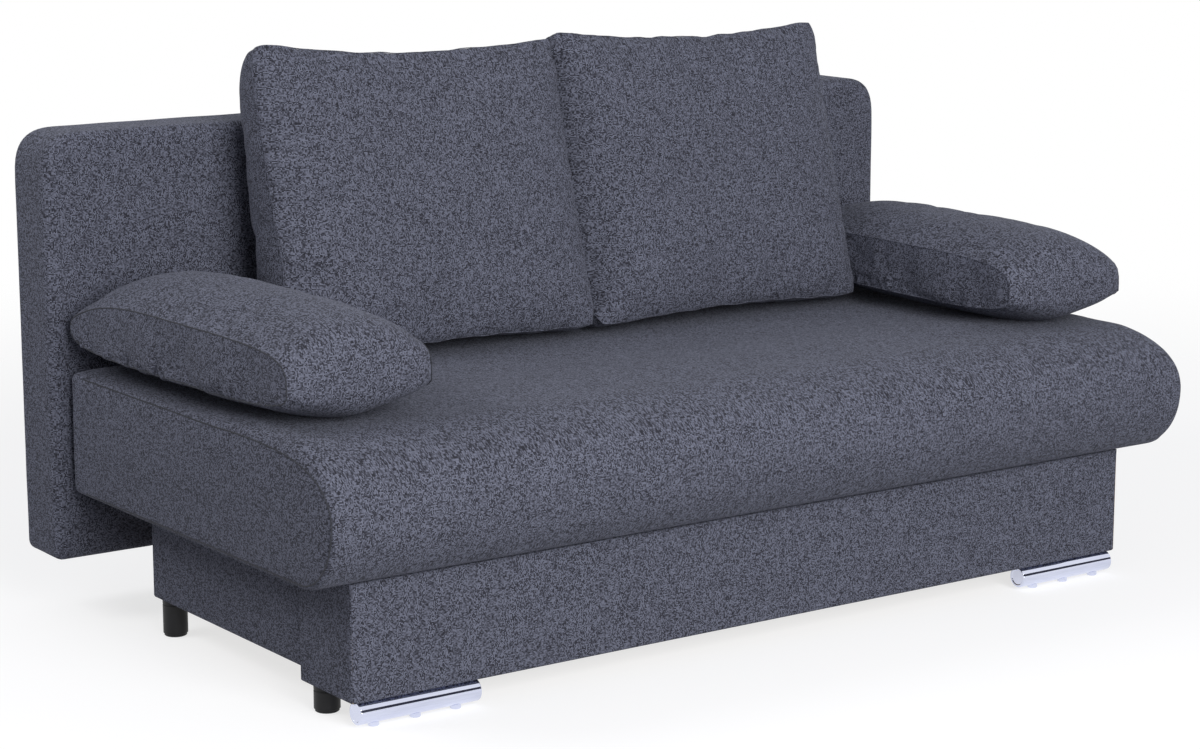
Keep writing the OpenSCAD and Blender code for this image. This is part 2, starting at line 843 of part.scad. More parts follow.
// Long cushion with nearly flat side panels and a crowned top that falls towards the nose.
// The inset shrinks it towards its core.
module loaf(inset) {
    n = loaf_stations;
    half = [loaf_width / 2, loaf_length / 2, 90];
    shrink = [for (h = half) 1 - inset / h];
    core = 80;
    seam_z = 74;
    place = function(k, i) let (
            s = spread(k, n),
            a = 360 * (i + 0.5) / loaf_points,
            crown = (loaf_crown - loaf_side) * (1 - pow(abs(s), 2.3)),
            fall = (cos(a) > 0 ? 0.24 : -0.02) * pow(cos(a), 2),
            rise = (loaf_side + crown) * (1 - fall) - seam_z,
            lift = 36 * pow(abs(s), 1.5) + 10 * pow(cos(a), 4),
            z = seam_z + (sin(a) > 0 ? rise * spow(sin(a), 0.36)
                : (seam_z - lift) * spow(sin(a), 0.57))
        ) [
            shrink[0] * s * half[0],
            shrink[1] * (half[1] - 14 * pow(abs(s), 6)) * spow(cos(a), 0.53),
            core + shrink[2] * (z - core)
        ];
    last = 2 * n * loaf_points;
    cells = [
        for (k = [0:2 * n - 1], i = [0:loaf_points - 1])
            [k * loaf_points + i, k * loaf_points + (i + 1) % loaf_points]
    ];
    polyhedron(
        points = [for (k = [0:2 * n], i = [0:loaf_points - 1]) place(k, i)],
        faces = concat(
            [[for (i = [0:loaf_points - 1]) i]],
            [[for (i = [loaf_points - 1:-1:0]) last + i]],
            [for (c = cells) [c[0], c[0] + loaf_points, c[1]]],
            [for (c = cells) [c[0] + loaf_points, c[1] + loaf_points, c[1]]]
        )
    );
}

module in_arm_cushion_place(side) {
    turned = side > 0 ? loaf_turn_right : loaf_turn_left;
    centre = loaf_inner[side > 0 ? 1 : 0] + loaf_width / 2;
    on_side(side) translate([centre, loaf_rear, seat_top + rest_gap]) rotate([0, 0, -turned])
        translate([0, -loaf_length / 2, 0]) children();
}

module arm_cushion_cover(side) {
    color(fabric_blue) in_arm_cushion_place(side) difference() {
        loaf(0);
        loaf(shell);
    }
}

module arm_cushion_filling(side) {
    color(foam_cream) in_arm_cushion_place(side) loaf(shell);
}

box_side(-1);  // box_side_left
box_side(1);  // box_side_right
box_fabric();
box_front_panel();
box_rear_panel();
box_floor();
box_front_rail();
box_corner_blocks();
guide_rail(-1);  // guide_rail_left
guide_rail(1);  // guide_rail_right
box_feet();
box_foot_bolts();
plinth_frame();
plinth_base_board();
plinth_top_board();
plinth_fabric();
plinth_bolts();
chrome_foot(-1);  // chrome_foot_left
chrome_foot(1);  // chrome_foot_right
chrome_foot_glides();
chrome_foot_bolts();
plinth_feet();
seat_frame();
seat_slat_board();
seat_springs();
seat_foam();
seat_cover();
seat_runner(-1);  // seat_runner_left
seat_runner(1);  // seat_runner_right
seat_glide_pads();
arm_bracket(-1);  // arm_bracket_left
arm_bracket(1);  // arm_bracket_right
bracket_screws();
lower_pivot_pins();
lower_pivot_bushes();
swing_arm(-1);  // swing_arm_left
swing_arm(1);  // swing_arm_right
back_frame();
back_webbing();
back_foam();
back_cover();
back_rear_board();
hinge_plate(-1);  // hinge_plate_left
hinge_plate(1);  // hinge_plate_right
upper_pivot_pins();
upper_pivot_bushes();
leg_recess_tray();
leg_brackets();
leg_pins();
support_leg();
leg_caps();
back_cushion_cover(-1);  // back_cushion_cover_left
back_cushion_cover(1);  // back_cushion_cover_right
back_cushion_filling(-1);  // back_cushion_filling_left
back_cushion_filling(1);  // back_cushion_filling_right
arm_cushion_cover(-1);  // arm_cushion_cover_left
arm_cushion_cover(1);  // arm_cushion_cover_right
arm_cushion_filling(-1);  // arm_cushion_filling_left
arm_cushion_filling(1);  // arm_cushion_filling_right
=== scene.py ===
"""Looks of a pull-out sofa bed: upholstery, loose cushions, feet and materials on its frame."""

import json
from math import cos, dist, pi, radians, sin

import bmesh
import bpy
import numpy as np
from mathutils import Matrix, Vector, noise
from mathutils.bvhtree import BVHTree
from mathutils.kdtree import KDTree


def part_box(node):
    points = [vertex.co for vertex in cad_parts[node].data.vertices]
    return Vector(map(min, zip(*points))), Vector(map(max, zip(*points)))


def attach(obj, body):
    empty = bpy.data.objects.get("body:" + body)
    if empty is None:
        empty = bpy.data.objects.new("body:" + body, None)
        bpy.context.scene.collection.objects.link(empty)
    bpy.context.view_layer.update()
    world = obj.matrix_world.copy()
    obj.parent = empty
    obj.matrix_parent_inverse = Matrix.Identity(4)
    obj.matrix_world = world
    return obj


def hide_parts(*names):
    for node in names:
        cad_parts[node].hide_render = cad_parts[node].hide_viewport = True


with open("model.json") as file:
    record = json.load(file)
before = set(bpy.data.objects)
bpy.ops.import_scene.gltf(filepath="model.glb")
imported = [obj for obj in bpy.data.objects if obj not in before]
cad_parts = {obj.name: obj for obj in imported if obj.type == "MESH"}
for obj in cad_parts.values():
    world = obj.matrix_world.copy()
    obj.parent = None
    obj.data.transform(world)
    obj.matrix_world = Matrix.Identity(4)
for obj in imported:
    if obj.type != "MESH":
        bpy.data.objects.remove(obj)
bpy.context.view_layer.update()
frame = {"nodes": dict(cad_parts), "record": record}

# ---------- shader nodes ----------


class Nodes:
    """Adds and joins the shader nodes of one material or world."""

    def __init__(self, owner, empty=False):
        owner.use_nodes = True
        self.owner = owner
        self.tree = owner.node_tree
        if empty:
            self.tree.nodes.clear()
        else:
            self.shader = self.tree.nodes["Principled BSDF"]

    def feed(self, node, inputs):
        """Joins or sets inputs by name or number. A node gives its first output."""
        for socket, value in inputs.items():
            if isinstance(value, bpy.types.Node):
                value = value.outputs[0]
            if isinstance(value, bpy.types.NodeSocket):
                self.tree.links.new(value, node.inputs[socket])
            else:
                node.inputs[socket].default_value = value

    def add(self, kind, inputs=None, **settings):
        node = self.tree.nodes.new("ShaderNode" + kind)
        for key, value in settings.items():
            setattr(node, key, value)
        self.feed(node, inputs or {})
        return node

    def math(self, operation, a, b=0.0, c=0.0):
        return self.add("Math", {0: a, 1: b, 2: c}, operation=operation).outputs[0]

    def noise(self, vector, scale, detail=2.0, rough=0.5, stretch=(1, 1, 1), shift=(0, 0, 0)):
        place = self.add("Mapping", {"Vector": vector, "Scale": stretch, "Location": shift})
        inputs = {"Vector": place, "Scale": scale, "Detail": detail, "Roughness": rough}
        return self.add("TexNoise", inputs).outputs["Fac"]

    def speckle(self, a, b, seed):
        """One random value for each whole (a, b)."""
        cell = self.add("CombineXYZ", {0: a, 1: b, 2: seed})
        return self.add("TexWhiteNoise", {"Vector": cell}, noise_dimensions="3D").outputs["Value"]

    def remap(self, value, low, high, to_low=0.0, to_high=1.0, **settings):
        """The value moved from one range to another, and held inside it."""
        span = {"From Min": low, "From Max": high, "To Min": to_low, "To Max": to_high}
        return self.add("MapRange", {"Value": value, **span}, **settings).outputs["Result"]

    def mix_colour(self, factor, a, b):
        node = self.add("Mix", {"Factor": factor}, data_type="RGBA")
        for socket, value in zip([s for s in node.inputs if s.type == "RGBA"], (a, b)):
            socket.default_value = (*value, 1)
        return [s for s in node.outputs if s.type == "RGBA"][0]

    def bump(self, height, strength, distance):
        inputs = {"Height": height, "Strength": strength, "Distance": distance}
        self.feed(self.shader, {"Normal": self.add("Bump", inputs)})

    def position(self):
        return self.add("TexCoord").outputs["Object"]

    def surface(self, **values):
        self.feed(self.shader, {key.replace("_", " "): v for key, v in values.items()})


# ---------- camera, light and floor ----------

CAMERA_PLACE = (-3.2357, -4.4709, 1.5067)
CAMERA_YAW = 35.50
CAMERA_PITCH = 11.03
CAMERA_LENS = 87.1
AMBIENT = (0.335, 0.34, 0.365)
WHITE = (1, 1, 1, 1)
# place, aim, size and watts
LIGHTS = {
    "key": ((-1.0, -5.4, 2.35), (0, 0, 0.45), 3.4, 290),
    "side": ((-3.5, 1.1, 3.1), (-0.8, 0, 0.5), 1.6, 46),
}
FLOOR_RADIUS = 9.0
FLOOR_STEPS = 96
FLOOR_Z = -0.0004
FLOOR_FADE = (1.3, 4.5)
FLOOR_LIT = (0.32, 0.32, 0.33, 1)
FLOOR_SEEN = (0.36, 0.36, 0.365, 1)
FLOOR_GLOW = 0.71
CARD_Y = -3.6
CARD_Z = (0.75, 2.3)
CARD_HALF = 9.0
CARD_COLOUR = (0.05, 0.05, 0.08, 1)


def add_camera():
    data = bpy.data.cameras.new("camera")
    data.lens = CAMERA_LENS
    data.sensor_width = 36
    camera = bpy.data.objects.new("camera", data)
    camera.location = CAMERA_PLACE
    camera.rotation_euler = (radians(90 - CAMERA_PITCH), 0, -radians(CAMERA_YAW))
    bpy.context.scene.collection.objects.link(camera)
    bpy.context.scene.camera = camera


def add_area_light(name, place, aim, size, watts):
    data = bpy.data.lights.new(name, "AREA")
    data.shape = "DISK"
    data.size = size
    data.energy = watts
    lamp = bpy.data.objects.new(name, data)
    lamp.location = place
    direction = Vector(aim) - Vector(place)
    lamp.rotation_euler = direction.to_track_quat("-Z", "Y").to_euler()
    bpy.context.scene.collection.objects.link(lamp)


def add_world():
    """An even light. The camera, gloss and transmission see plain white instead."""
    world = bpy.data.worlds.new("world")
    bpy.context.scene.world = world
    n = Nodes(world, empty=True)
    ambient = n.add("Background", {"Color": (*AMBIENT, 1)})
    white = n.add("Background", {"Color": WHITE})
    rays = n.add("LightPath").outputs
    seen = n.math("MAXIMUM", rays["Is Camera Ray"], rays["Is Glossy Ray"])
    seen = n.math("MAXIMUM", seen, rays["Is Transmission Ray"])
    n.add("OutputWorld", {"Surface": n.add("MixShader", {0: seen, 1: ambient, 2: white})})


def add_stage(name, corners):
    """A flat surface that isn't part of the sofa, and its new material."""
    mesh = bpy.data.meshes.new(name)
    mesh.from_pydata(corners, [], [list(range(len(corners)))])
    surface = bpy.data.objects.new(name, mesh)
    bpy.context.scene.collection.objects.link(surface)
    material = bpy.data.materials.new(name)
    mesh.materials.append(material)
    return surface, material


def add_floor():
    """A pale disc that fades into the white surroundings away from the sofa."""
    turns = [2 * pi * i / FLOOR_STEPS for i in range(FLOOR_STEPS)]
    ring = [(FLOOR_RADIUS * cos(t), FLOOR_RADIUS * sin(t), 0) for t in turns]
    floor, material = add_stage("floor", ring)
    floor.location.z = FLOOR_Z
    n = Nodes(material, empty=True)
    lit = n.add("BsdfDiffuse", {"Color": FLOOR_LIT})
    pale = n.add("BsdfDiffuse", {"Color": FLOOR_SEEN})
    glow = n.add("Emission", {"Color": WHITE, "Strength": FLOOR_GLOW})
    bright = n.add("AddShader", {0: pale, 1: glow})
    rays = n.add("LightPath").outputs
    seen = n.math("MAXIMUM", rays["Is Camera Ray"], rays["Is Glossy Ray"])
    near = n.add("MixShader", {0: seen, 1: lit, 2: bright})
    distance = n.add("VectorMath", {0: n.position()}, operation="LENGTH").outputs["Value"]
    fade = n.remap(distance, *FLOOR_FADE, interpolation_type="SMOOTHSTEP")
    mix = n.add("MixShader", {0: fade, 1: near, 2: n.add("BsdfTransparent")})
    n.add("OutputMaterial", {"Surface": mix})


def add_dark_card():
    """A dark board in front of the sofa, which only reflections show."""
    (low, high), half = CARD_Z, CARD_HALF
    corners = ((-half, low), (half, low), (half, high), (-half, high))
    card, material = add_stage("dark_card", [(x, CARD_Y, z) for x, z in corners])
    for rays in ("camera", "diffuse", "shadow", "transmission"):
        setattr(card, "visible_" + rays, False)
    Nodes(material).surface(Base_Color=CARD_COLOUR, Roughness=0.9)


add_camera()
add_world()
for light_name, light in LIGHTS.items():
    add_area_light(light_name, *light)
add_floor()
add_dark_card()
bpy.context.scene.view_settings.view_transform = "Standard"

# ---------- materials ----------

THREAD = 0.0021
STREAK = 3.0
SIDE_SHARE = 0.75
TOP_SHARE = 0.55
THREAD_WEIGHT = 0.35
CROSSING_WEIGHT = 0.65
SEAM_THREAD = 0.0012
FABRIC_DARK = (0.020, 0.020, 0.028)
FABRIC_LIGHT = (0.158, 0.167, 0.221)
# Seam cord colours, darker than the fabric: the seam thread with painted shadow of the sewn groove
# along it
SEAM_SHADOW_DARK = (0.010, 0.010, 0.014)
SEAM_SHADOW_LIGHT = (0.045, 0.048, 0.062)
SOFTWOOD_NODES = ("box_front_rail", "box_corner_blocks", "seat_frame", "back_frame")
SOFTWOOD_NODES += ("seat_runner_left", "seat_runner_right")


def new_nodes(name):
    return Nodes(bpy.data.materials.new(name))


def upholstery_position(n):
    """In-plane thread coordinates: (x, z) on fronts, (y, z) on sides and (x, y) on tops. Threads
    are longer in y, because sides and tops are seen at a slant."""
    coordinates = n.add("TexCoord").outputs
    place = n.add("SeparateXYZ", {0: coordinates["Object"]}).outputs
    facing = n.add("SeparateXYZ", {0: coordinates["Normal"]}).outputs
    size = [n.math("ABSOLUTE", facing[i]) for i in range(3)]
    is_side = n.math("GREATER_THAN", size[0], n.math("MAXIMUM", size[1], size[2]))
    is_top = n.math("GREATER_THAN", size[2], n.math("MAXIMUM", size[0], size[1]))

    def choose(flag, yes, no):
        return n.math("MULTIPLY_ADD", flag, n.math("SUBTRACT", yes, no), no)

    across = choose(is_side, n.math("MULTIPLY", place[1], SIDE_SHARE), place[0])
    along = choose(is_top, n.math("MULTIPLY", place[1], TOP_SHARE), place[2])
    return n.add("CombineXYZ", {0: across, 1: along}).outputs[0], across, along


def upholstery_material(name, dark, light):
    """Melange plain weave: each crossing shows a warp or a weft thread, and each streak of
    thread and each crossing has its own tone."""
    n = new_nodes(name)
    plane, across, along = upholstery_position(n)
    column = n.math("DIVIDE", across, THREAD)
    row = n.math("DIVIDE", along, THREAD)
    i = n.math("FLOOR", column)
    j = n.math("FLOOR", row)
    weft_over = n.math("FLOORED_MODULO", n.math("ADD", i, j), 2.0)
    warp = n.speckle(i, n.math("FLOOR", n.math("DIVIDE", j, STREAK)), 3.0)
    weft = n.speckle(n.math("FLOOR", n.math("DIVIDE", i, STREAK)), j, 7.0)
    crossing = n.speckle(i, j, 11.0)
    thread = n.math("MULTIPLY_ADD", weft_over, n.math("SUBTRACT", weft, warp), warp)
    thread = n.math("MULTIPLY", thread, THREAD_WEIGHT)
    tone = n.math("ADD", thread, n.math("MULTIPLY", crossing, CROSSING_WEIGHT))
    tone = n.remap(tone, 0.25, 0.75)
    patch = n.noise(plane, 110)
    cloud = n.noise(plane, 38, shift=(2, 5, 0))
    slow = n.noise(plane, 9, shift=(4, 2, 1))
    for field, amount in ((patch, 0.02), (cloud, 0.015), (slow, 0.02)):
        tone = n.math("ADD", tone, n.remap(field, 0.3, 0.7, -amount, amount))
    waves = [n.math("SINE", n.math("MULTIPLY", at, pi)) for at in (column, row)]
    yarn = n.math("MULTIPLY", *[n.math("ABSOLUTE", wave) for wave in waves])
    gap = n.remap(yarn, 0.0, 0.35, 0.6, 1.0)
    tone = n.math("MULTIPLY", n.remap(tone, 0.0, 1.0), gap)
    n.surface(
        Base_Color=n.mix_colour(tone, dark, light),
        Roughness=0.88,
        Sheen_Weight=0.08,
        Sheen_Roughness=0.5,
        Sheen_Tint=(0.72, 0.76, 0.92, 1),
        Specular_IOR_Level=0.2,
    )
    height = n.math("ADD", yarn, n.math("MULTIPLY", crossing, 0.5))
    height = n.math("ADD", height, n.math("MULTIPLY", patch, 0.5))
    n.bump(height, 0.35, 0.0009)
    return n.owner


def plain_cloth_material(name, dark, light):
    n = new_nodes(name)
    plane = upholstery_position(n)[0]
    warp = n.noise(plane, 1 / SEAM_THREAD, 1.0, 0.5, (1, 0.2, 1))
    weft = n.noise(plane, 1 / SEAM_THREAD, 1.0, 0.5, (0.2, 1, 1), (2, 1, 0))
    tone = n.remap(n.math("ADD", warp, weft), 0.7, 1.3)
    n.surface(Base_Color=n.mix_colour(tone, dark, light), Roughness=0.9)
    n.bump(tone, 0.3, 0.0006)
    return n.owner


def foam_material(name, dark, light, cell, depth):
    n = new_nodes(name)
    place = n.position()
    cells = n.add("TexVoronoi", {"Vector": place, "Scale": 1 / cell}).outputs["Distance"]
    blotch = n.math("MULTIPLY", n.noise(place, 14, 3.0), 0.5)
    tone = n.math("MULTIPLY_ADD", n.remap(cells, 0.0, 0.8), 0.5, blotch)
    n.surface(Base_Color=n.mix_colour(tone, dark, light), Roughness=0.95)
    n.bump(cells, 0.5, depth)
    return n.owner


def board_material(name, dark, light, grain=(1, 1, 1), scale=60):
    """Particle board or softwood, by how far the noise is stretched."""
    n = new_nodes(name)
    place = n.position()
    chips = n.noise(place, scale, 4.0, 0.65, grain)
    tint = n.remap(n.noise(place, 5, 2.0), 0.3, 0.7, -0.12, 0.12)
    tone = n.math("ADD", n.remap(chips, 0.35, 0.65, 0.1, 0.9), tint)
    rough = n.remap(chips, 0.3, 0.7, 0.6, 0.8)
    n.surface(Base_Color=n.mix_colour(tone, dark, light), Roughness=rough)
    n.bump(chips, 0.25, 0.0006)
    return n.owner


def metal_material(name, dark, light, metallic, rough, grain_scale, stretch=(1, 1, 1), bump=0.0002):
    """Fine grain, drawn out on brushed or turned metal, under slow smudges."""
    n = new_nodes(name)
    place = n.position()
    grain = n.noise(place, grain_scale, 3.0, 0.6, stretch)
    smudge = n.noise(place, 7, 3.0, shift=(3, 1, 2))
    tone = n.math("ADD", n.math("MULTIPLY", grain, 0.5), n.math("MULTIPLY", smudge, 0.5))
    n.surface(
        Base_Color=n.mix_colour(n.remap(tone, 0.35, 0.65), dark, light),
        Metallic=metallic,
        Roughness=n.remap(tone, 0.3, 0.7, *rough),
    )
    n.bump(grain, 0.15, bump)
    return n.owner


def plastic_material(name, dark, light, rough):
    n = new_nodes(name)
    place = n.position()
    dust = n.noise(place, 30, 4.0, shift=(1, 5, 2))
    n.surface(
        Base_Color=n.mix_colour(n.remap(dust, 0.45, 0.75), dark, light),
        Roughness=n.remap(dust, 0.3, 0.7, *rough),
        Specular_IOR_Level=0.3,
    )
    n.bump(n.noise(place, 900), 0.12, 0.0003)
    return n.owner


materials = {
    "upholstery": upholstery_material("melange_weave", FABRIC_DARK, FABRIC_LIGHT),
    # dark seam cord: seam thread with painted shadow of the sewn groove
    "seam": plain_cloth_material("seam_thread_painted_shadow", SEAM_SHADOW_DARK, SEAM_SHADOW_LIGHT),
    "liner": plain_cloth_material("unbleached_cloth", (0.40, 0.38, 0.34), (0.62, 0.60, 0.55)),
    "timber": board_material("particle_board", (0.36, 0.24, 0.13), (0.66, 0.50, 0.32)),
    "softwood": board_material(
        "softwood", (0.46, 0.30, 0.16), (0.70, 0.54, 0.35), grain=(0.06, 1, 1), scale=90
    ),
    "foam": foam_material(
        "foam", (0.62, 0.55, 0.36), (0.84, 0.78, 0.60), cell=0.004, depth=0.0012
    ),
    "wadding": foam_material(
        "wadding", (0.72, 0.71, 0.68), (0.92, 0.91, 0.88), cell=0.009, depth=0.003
    ),
    "steel": metal_material(
        "powder_coat", (0.20, 0.21, 0.23), (0.30, 0.31, 0.33), 0.0, (0.38, 0.5), 1400, bump=0.0003
    ),
    "bare_steel": metal_material(
        "zinc", (0.42, 0.43, 0.45), (0.62, 0.63, 0.65), 1.0, (0.28, 0.42), 300, (0.3, 1, 1)
    ),
    # chrome's own colour, darkened and tinted blue as a painted reflection of bluish surroundings
    "chrome": metal_material(
        "chrome", (0.60, 0.63, 0.78), (0.70, 0.73, 0.87), 1.0, (0.05, 0.09), 500, (0.05, 1, 1), 3e-5
    ),
    "black_plastic": plastic_material(
        "black_plastic", (0.004, 0.004, 0.005), (0.011, 0.011, 0.013), (0.42, 0.55)
    ),
    "board": board_material(
        "dark_fibre_sheet", (0.022, 0.023, 0.027), (0.05, 0.05, 0.056), scale=160
    ),
}

for part in frame["record"]["subparts"]:
    node = frame["nodes"][part["node"]]
    wanted = "softwood" if part["node"] in SOFTWOOD_NODES else part["material_slot"]
    if not node.material_slots:
        node.data.materials.append(None)
    for holder in node.material_slots:
        holder.material = materials[wanted]

# ---------- mesh helpers ----------


def new_piece(name, points, faces, material, sharp_angle=40):
    mesh = bpy.data.meshes.new(name)
    mesh.from_pydata([tuple(map(float, p)) for p in points], [], faces)
    work = bmesh.new()
    work.from_mesh(mesh)
    bmesh.ops.remove_doubles(work, verts=work.verts, dist=1e-6)
    bmesh.ops.recalc_face_normals(work, faces=work.faces)
    work.to_mesh(mesh)
    work.free()
    mesh.materials.append(materials[material])
    piece = bpy.data.objects.new(name, mesh)
    bpy.context.scene.collection.objects.link(piece)
    smooth(piece, sharp_angle)
    return piece


def smooth(piece, sharp_angle=40):
    piece.data.polygons.foreach_set("use_smooth", [True] * len(piece.data.polygons))
    piece.data.set_sharp_from_angle(angle=radians(sharp_angle))
    piece.data.update()


def place_piece(piece, body, slot_name, *nodes):
    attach(piece, body)
    if nodes:
        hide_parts(*nodes)


def coordinates_of(piece):
    values = np.zeros(len(piece.data.vertices) * 3)
    piece.data.vertices.foreach_get("co", values)
    return values.reshape(-1, 3)


def set_coordinates(piece, values):
    piece.data.vertices.foreach_set("co", np.asarray(values, float).ravel())
    piece.data.update()


def normals_of(piece):
    return np.array([v.normal[:] for v in piece.data.vertices])


def waver(points, size, amount, seed):
    """Slow noise, one value for each point, within plus and minus amount."""
    shift = Vector((seed * 3.1, seed * 1.7, seed * 2.3))
    return np.array([noise.noise(Vector(p) / size + shift) for p in points]) * amount


def unit(vectors):
    return vectors / np.maximum(np.linalg.norm(vectors, axis=1, keepdims=True), 1e-9)


def eased(share):
    """0 to 1 with a soft start and end."""
    share = np.clip(share, 0, 1)
    return share * share * (3 - 2 * share)


def apply_modifiers(piece):
    graph = bpy.context.evaluated_depsgraph_get()
    mesh = bpy.data.meshes.new_from_object(piece.evaluated_get(graph))
    old = piece.data
    piece.modifiers.clear()
    piece.data = mesh
    bpy.data.meshes.remove(old)


def box_tool(low, high):
    xs, ys, zs = zip(low, high)
    corners = [(x, y, z) for x in xs for y in ys for z in zs]
    faces = [(0, 1, 3, 2), (4, 6, 7, 5), (0, 4, 5, 1), (2, 3, 7, 6), (0, 2, 6, 4), (1, 5, 7, 3)]
    mesh = bpy.data.meshes.new("tool")
    mesh.from_pydata(corners, [], faces)
    tool = bpy.data.objects.new("tool", mesh)
    bpy.context.scene.collection.objects.link(tool)
    return tool


def cut_boxes(piece, boxes, sharp_angle=40):
    """Takes boxes, each a pair of corners, out of a closed piece."""
    tools = [box_tool(low, high) for low, high in boxes]
    for tool in tools:
        cut = piece.modifiers.new("cut", "BOOLEAN")
        cut.operation = "DIFFERENCE"
        cut.solver = "EXACT"
        cut.object = tool
    apply_modifiers(piece)
    for tool in tools:
        bpy.data.objects.remove(tool)
    smooth(piece, sharp_angle)


def ring_faces(count, size, closed=False):
    """Faces between count rings of size points, and from the last to the first if closed."""
    faces = []
    for k in range(count if closed else count - 1):
        n = (k + 1) % count
        for i in range(size):
            j = (i + 1) % size
            faces.append((k * size + i, k * size + j, n * size + j, n * size + i))
    return faces


def end_faces(count, size):
    return [tuple(range(size)), tuple(range((count - 1) * size, count * size))]


def ring_of(top, bottom, rows):
    """Closed loop round a column-wise outline: along the top, down the far end, back and up."""
    down = [top[-1] + (bottom[-1] - top[-1]) * k / rows for k in range(1, rows)]
    up = [bottom[0] + (top[0] - bottom[0]) * k / rows for k in range(1, rows)]
    return np.array([*top, *down, *bottom[::-1], *up])


def inset_ring(ring, distance):
    """The loop moved inwards. The loop runs clockwise where u is to the right and v up."""
    ahead = np.roll(ring, -1, 0) - ring
    behind = ring - np.roll(ring, 1, 0)
    run = unit(unit(ahead) + unit(behind))
    return ring + np.stack([run[:, 1], -run[:, 0]], 1) * distance


def rim_places(count, rows):
    """Places once round the rim of a grid with count columns and rows steps."""
    rim = [(j, 0) for j in range(count)]
    rim += [(count - 1, r) for r in range(1, rows)]
    rim += [(j, rows) for j in reversed(range(count))]
    return rim + [(0, r) for r in range(rows - 1, 0, -1)]


def padded_slab(name, outline, count, rows, layers, place, bulge):
    """A closed upholstered slab. outline gives the loop round it at an inset, with count points
    along its top and rows steps down its ends. layers are (depth, inset) pairs from its first
    face to its last, place turns (u, v, depth) into a point and bulge adds to the depth of the
    two faces where they are far from the edge."""
    rim = rim_places(count, rows)
    points = [place(u, v, depth) for depth, inset in layers for u, v in outline(inset)]
    faces = ring_faces(len(layers), len(rim))
    for k, way in ((0, -1), (len(layers) - 1, 1)):
        depth, inset = layers[k]
        loop = outline(inset)
        upper = loop[:count]
        lower = loop[count + rows - 1 : 2 * count + rows - 1][::-1]
        index = {corner: k * len(rim) + i for i, corner in enumerate(rim)}
        for j in range(1, count - 1):
            for r in range(1, rows):
                u, v = upper[j] + (lower[j] - upper[j]) * r / rows
                swell = bulge(j / (count - 1), r / rows, way)
                index[j, r] = len(points)
                points.append(place(u, v, depth + way * swell))
        for j in range(count - 1):
            for r in range(rows):
                corners = ((j, r), (j + 1, r), (j + 1, r + 1), (j, r + 1))
                faces.append(tuple(index[corner] for corner in corners))
    return new_piece(name, points, faces, "upholstery")


def edge_layers(first, last, first_radius, last_radius, steps, middle_steps):
    """Depths and insets of a slab from first to last with rounded edges."""

    def rounded(edge, radius):
        turns = [pi / 2 * i / steps for i in range(steps + 1)]
        return [(edge + radius * (1 - sin(t)), abs(radius) * (1 - cos(t))) for t in turns]

    start = first + first_radius
    run = last - last_radius - start
    middle = [(start + run * i / middle_steps, 0.0) for i in range(1, middle_steps)]
    return rounded(first, first_radius)[::-1] + middle + rounded(last, -last_radius)


def tube(name, path, radius, material, closed=True, sides=8):
    """A thin cord of thread or welt along a path."""
    path = np.asarray(path, float)
    run = np.roll(path, -1, 0) - np.roll(path, 1, 0) if closed else np.gradient(path, axis=0)
    up = np.array([0.13, 0.21, 0.97])
    points = []
    for p, d in zip(path, run):
        d = d / max(np.linalg.norm(d), 1e-9)
        a = np.cross(d, up)
        a /= max(np.linalg.norm(a), 1e-9)
        b = np.cross(d, a)
        for i in range(sides):
            t = 2 * pi * i / sides
            points.append(p + radius * (cos(t) * a + sin(t) * b))
    faces = ring_faces(len(path), sides, closed)
    if not closed:
        faces += end_faces(len(path), sides)
    return new_piece(name, points, faces, material, 60)


def lathe(name, profile, origin, axis, material, steps):
    """A turned piece. profile is (radius, height) pairs along the axis from the origin."""
    axis = Vector(axis).normalized()
    side = axis.orthogonal().normalized()
    other = axis.cross(side)
    points = []
    for radius, height in profile:
        for i in range(steps):
            t = 2 * pi * i / steps
            arm = radius * (cos(t) * side + sin(t) * other)
            points.append(Vector(origin) + axis * height + arm)
    faces = ring_faces(len(profile), steps) + end_faces(len(profile), steps)
    return new_piece(name, points, faces, material, 35)


def even_path(points, step, count=0):
    """The same path with its points the same distance apart, a step or as many as count."""
    points = np.asarray(points, float)
    run = np.concatenate([[0], np.cumsum(np.linalg.norm(np.diff(points, axis=0), axis=1))])
    at = np.linspace(0, run[-1], count or max(int(round(run[-1] / step)), 2) + 1)
    return np.stack([np.interp(at, run, points[:, i]) for i in range(points.shape[1])], 1)


def snapped(path, piece, lift):
    """The path laid on the nearest surface of a piece, and lifted off it a little."""
    tree = BVHTree.FromPolygons(
        [v.co[:] for v in piece.data.vertices], [p.vertices[:] for p in piece.data.polygons]
    )
    laid = []
    for p in path:
        place, normal, _, _ = tree.find_nearest(Vector(p))
        laid.append(place + normal * lift)
    return laid


# ---------- seat upholstery ----------

NOSE_HEIGHT = 0.124
NOSE_TOP_RUN = 0.300
NOSE_BOTTOM_RUN = 0.115
NOSE_SQUARENESS = 2.4
NOSE_TIP_HALF = 0.003
NOSE_COLUMNS = 40
SEAT_COLUMNS = 56
SEAT_REAR_R = 0.014
SEAT_REAR_COLUMNS = 6
SEAT_ROWS = 14
# height, start behind the nose's tip and run of each swell of the top
SEAT_CROWNS = ((0.012, 0.54, 0.26), (0.011, 0.24, 0.13))
SEAT_EDGE = 0.011
SEAT_END_SWELL = 0.006
SEAT_END_DROP = 0.006
SEAT_INSET = 0.0012
SEAT_SEAM_R = 0.0013
FRAME_SLACK = 0.002
FRAME_HEM = 0.022


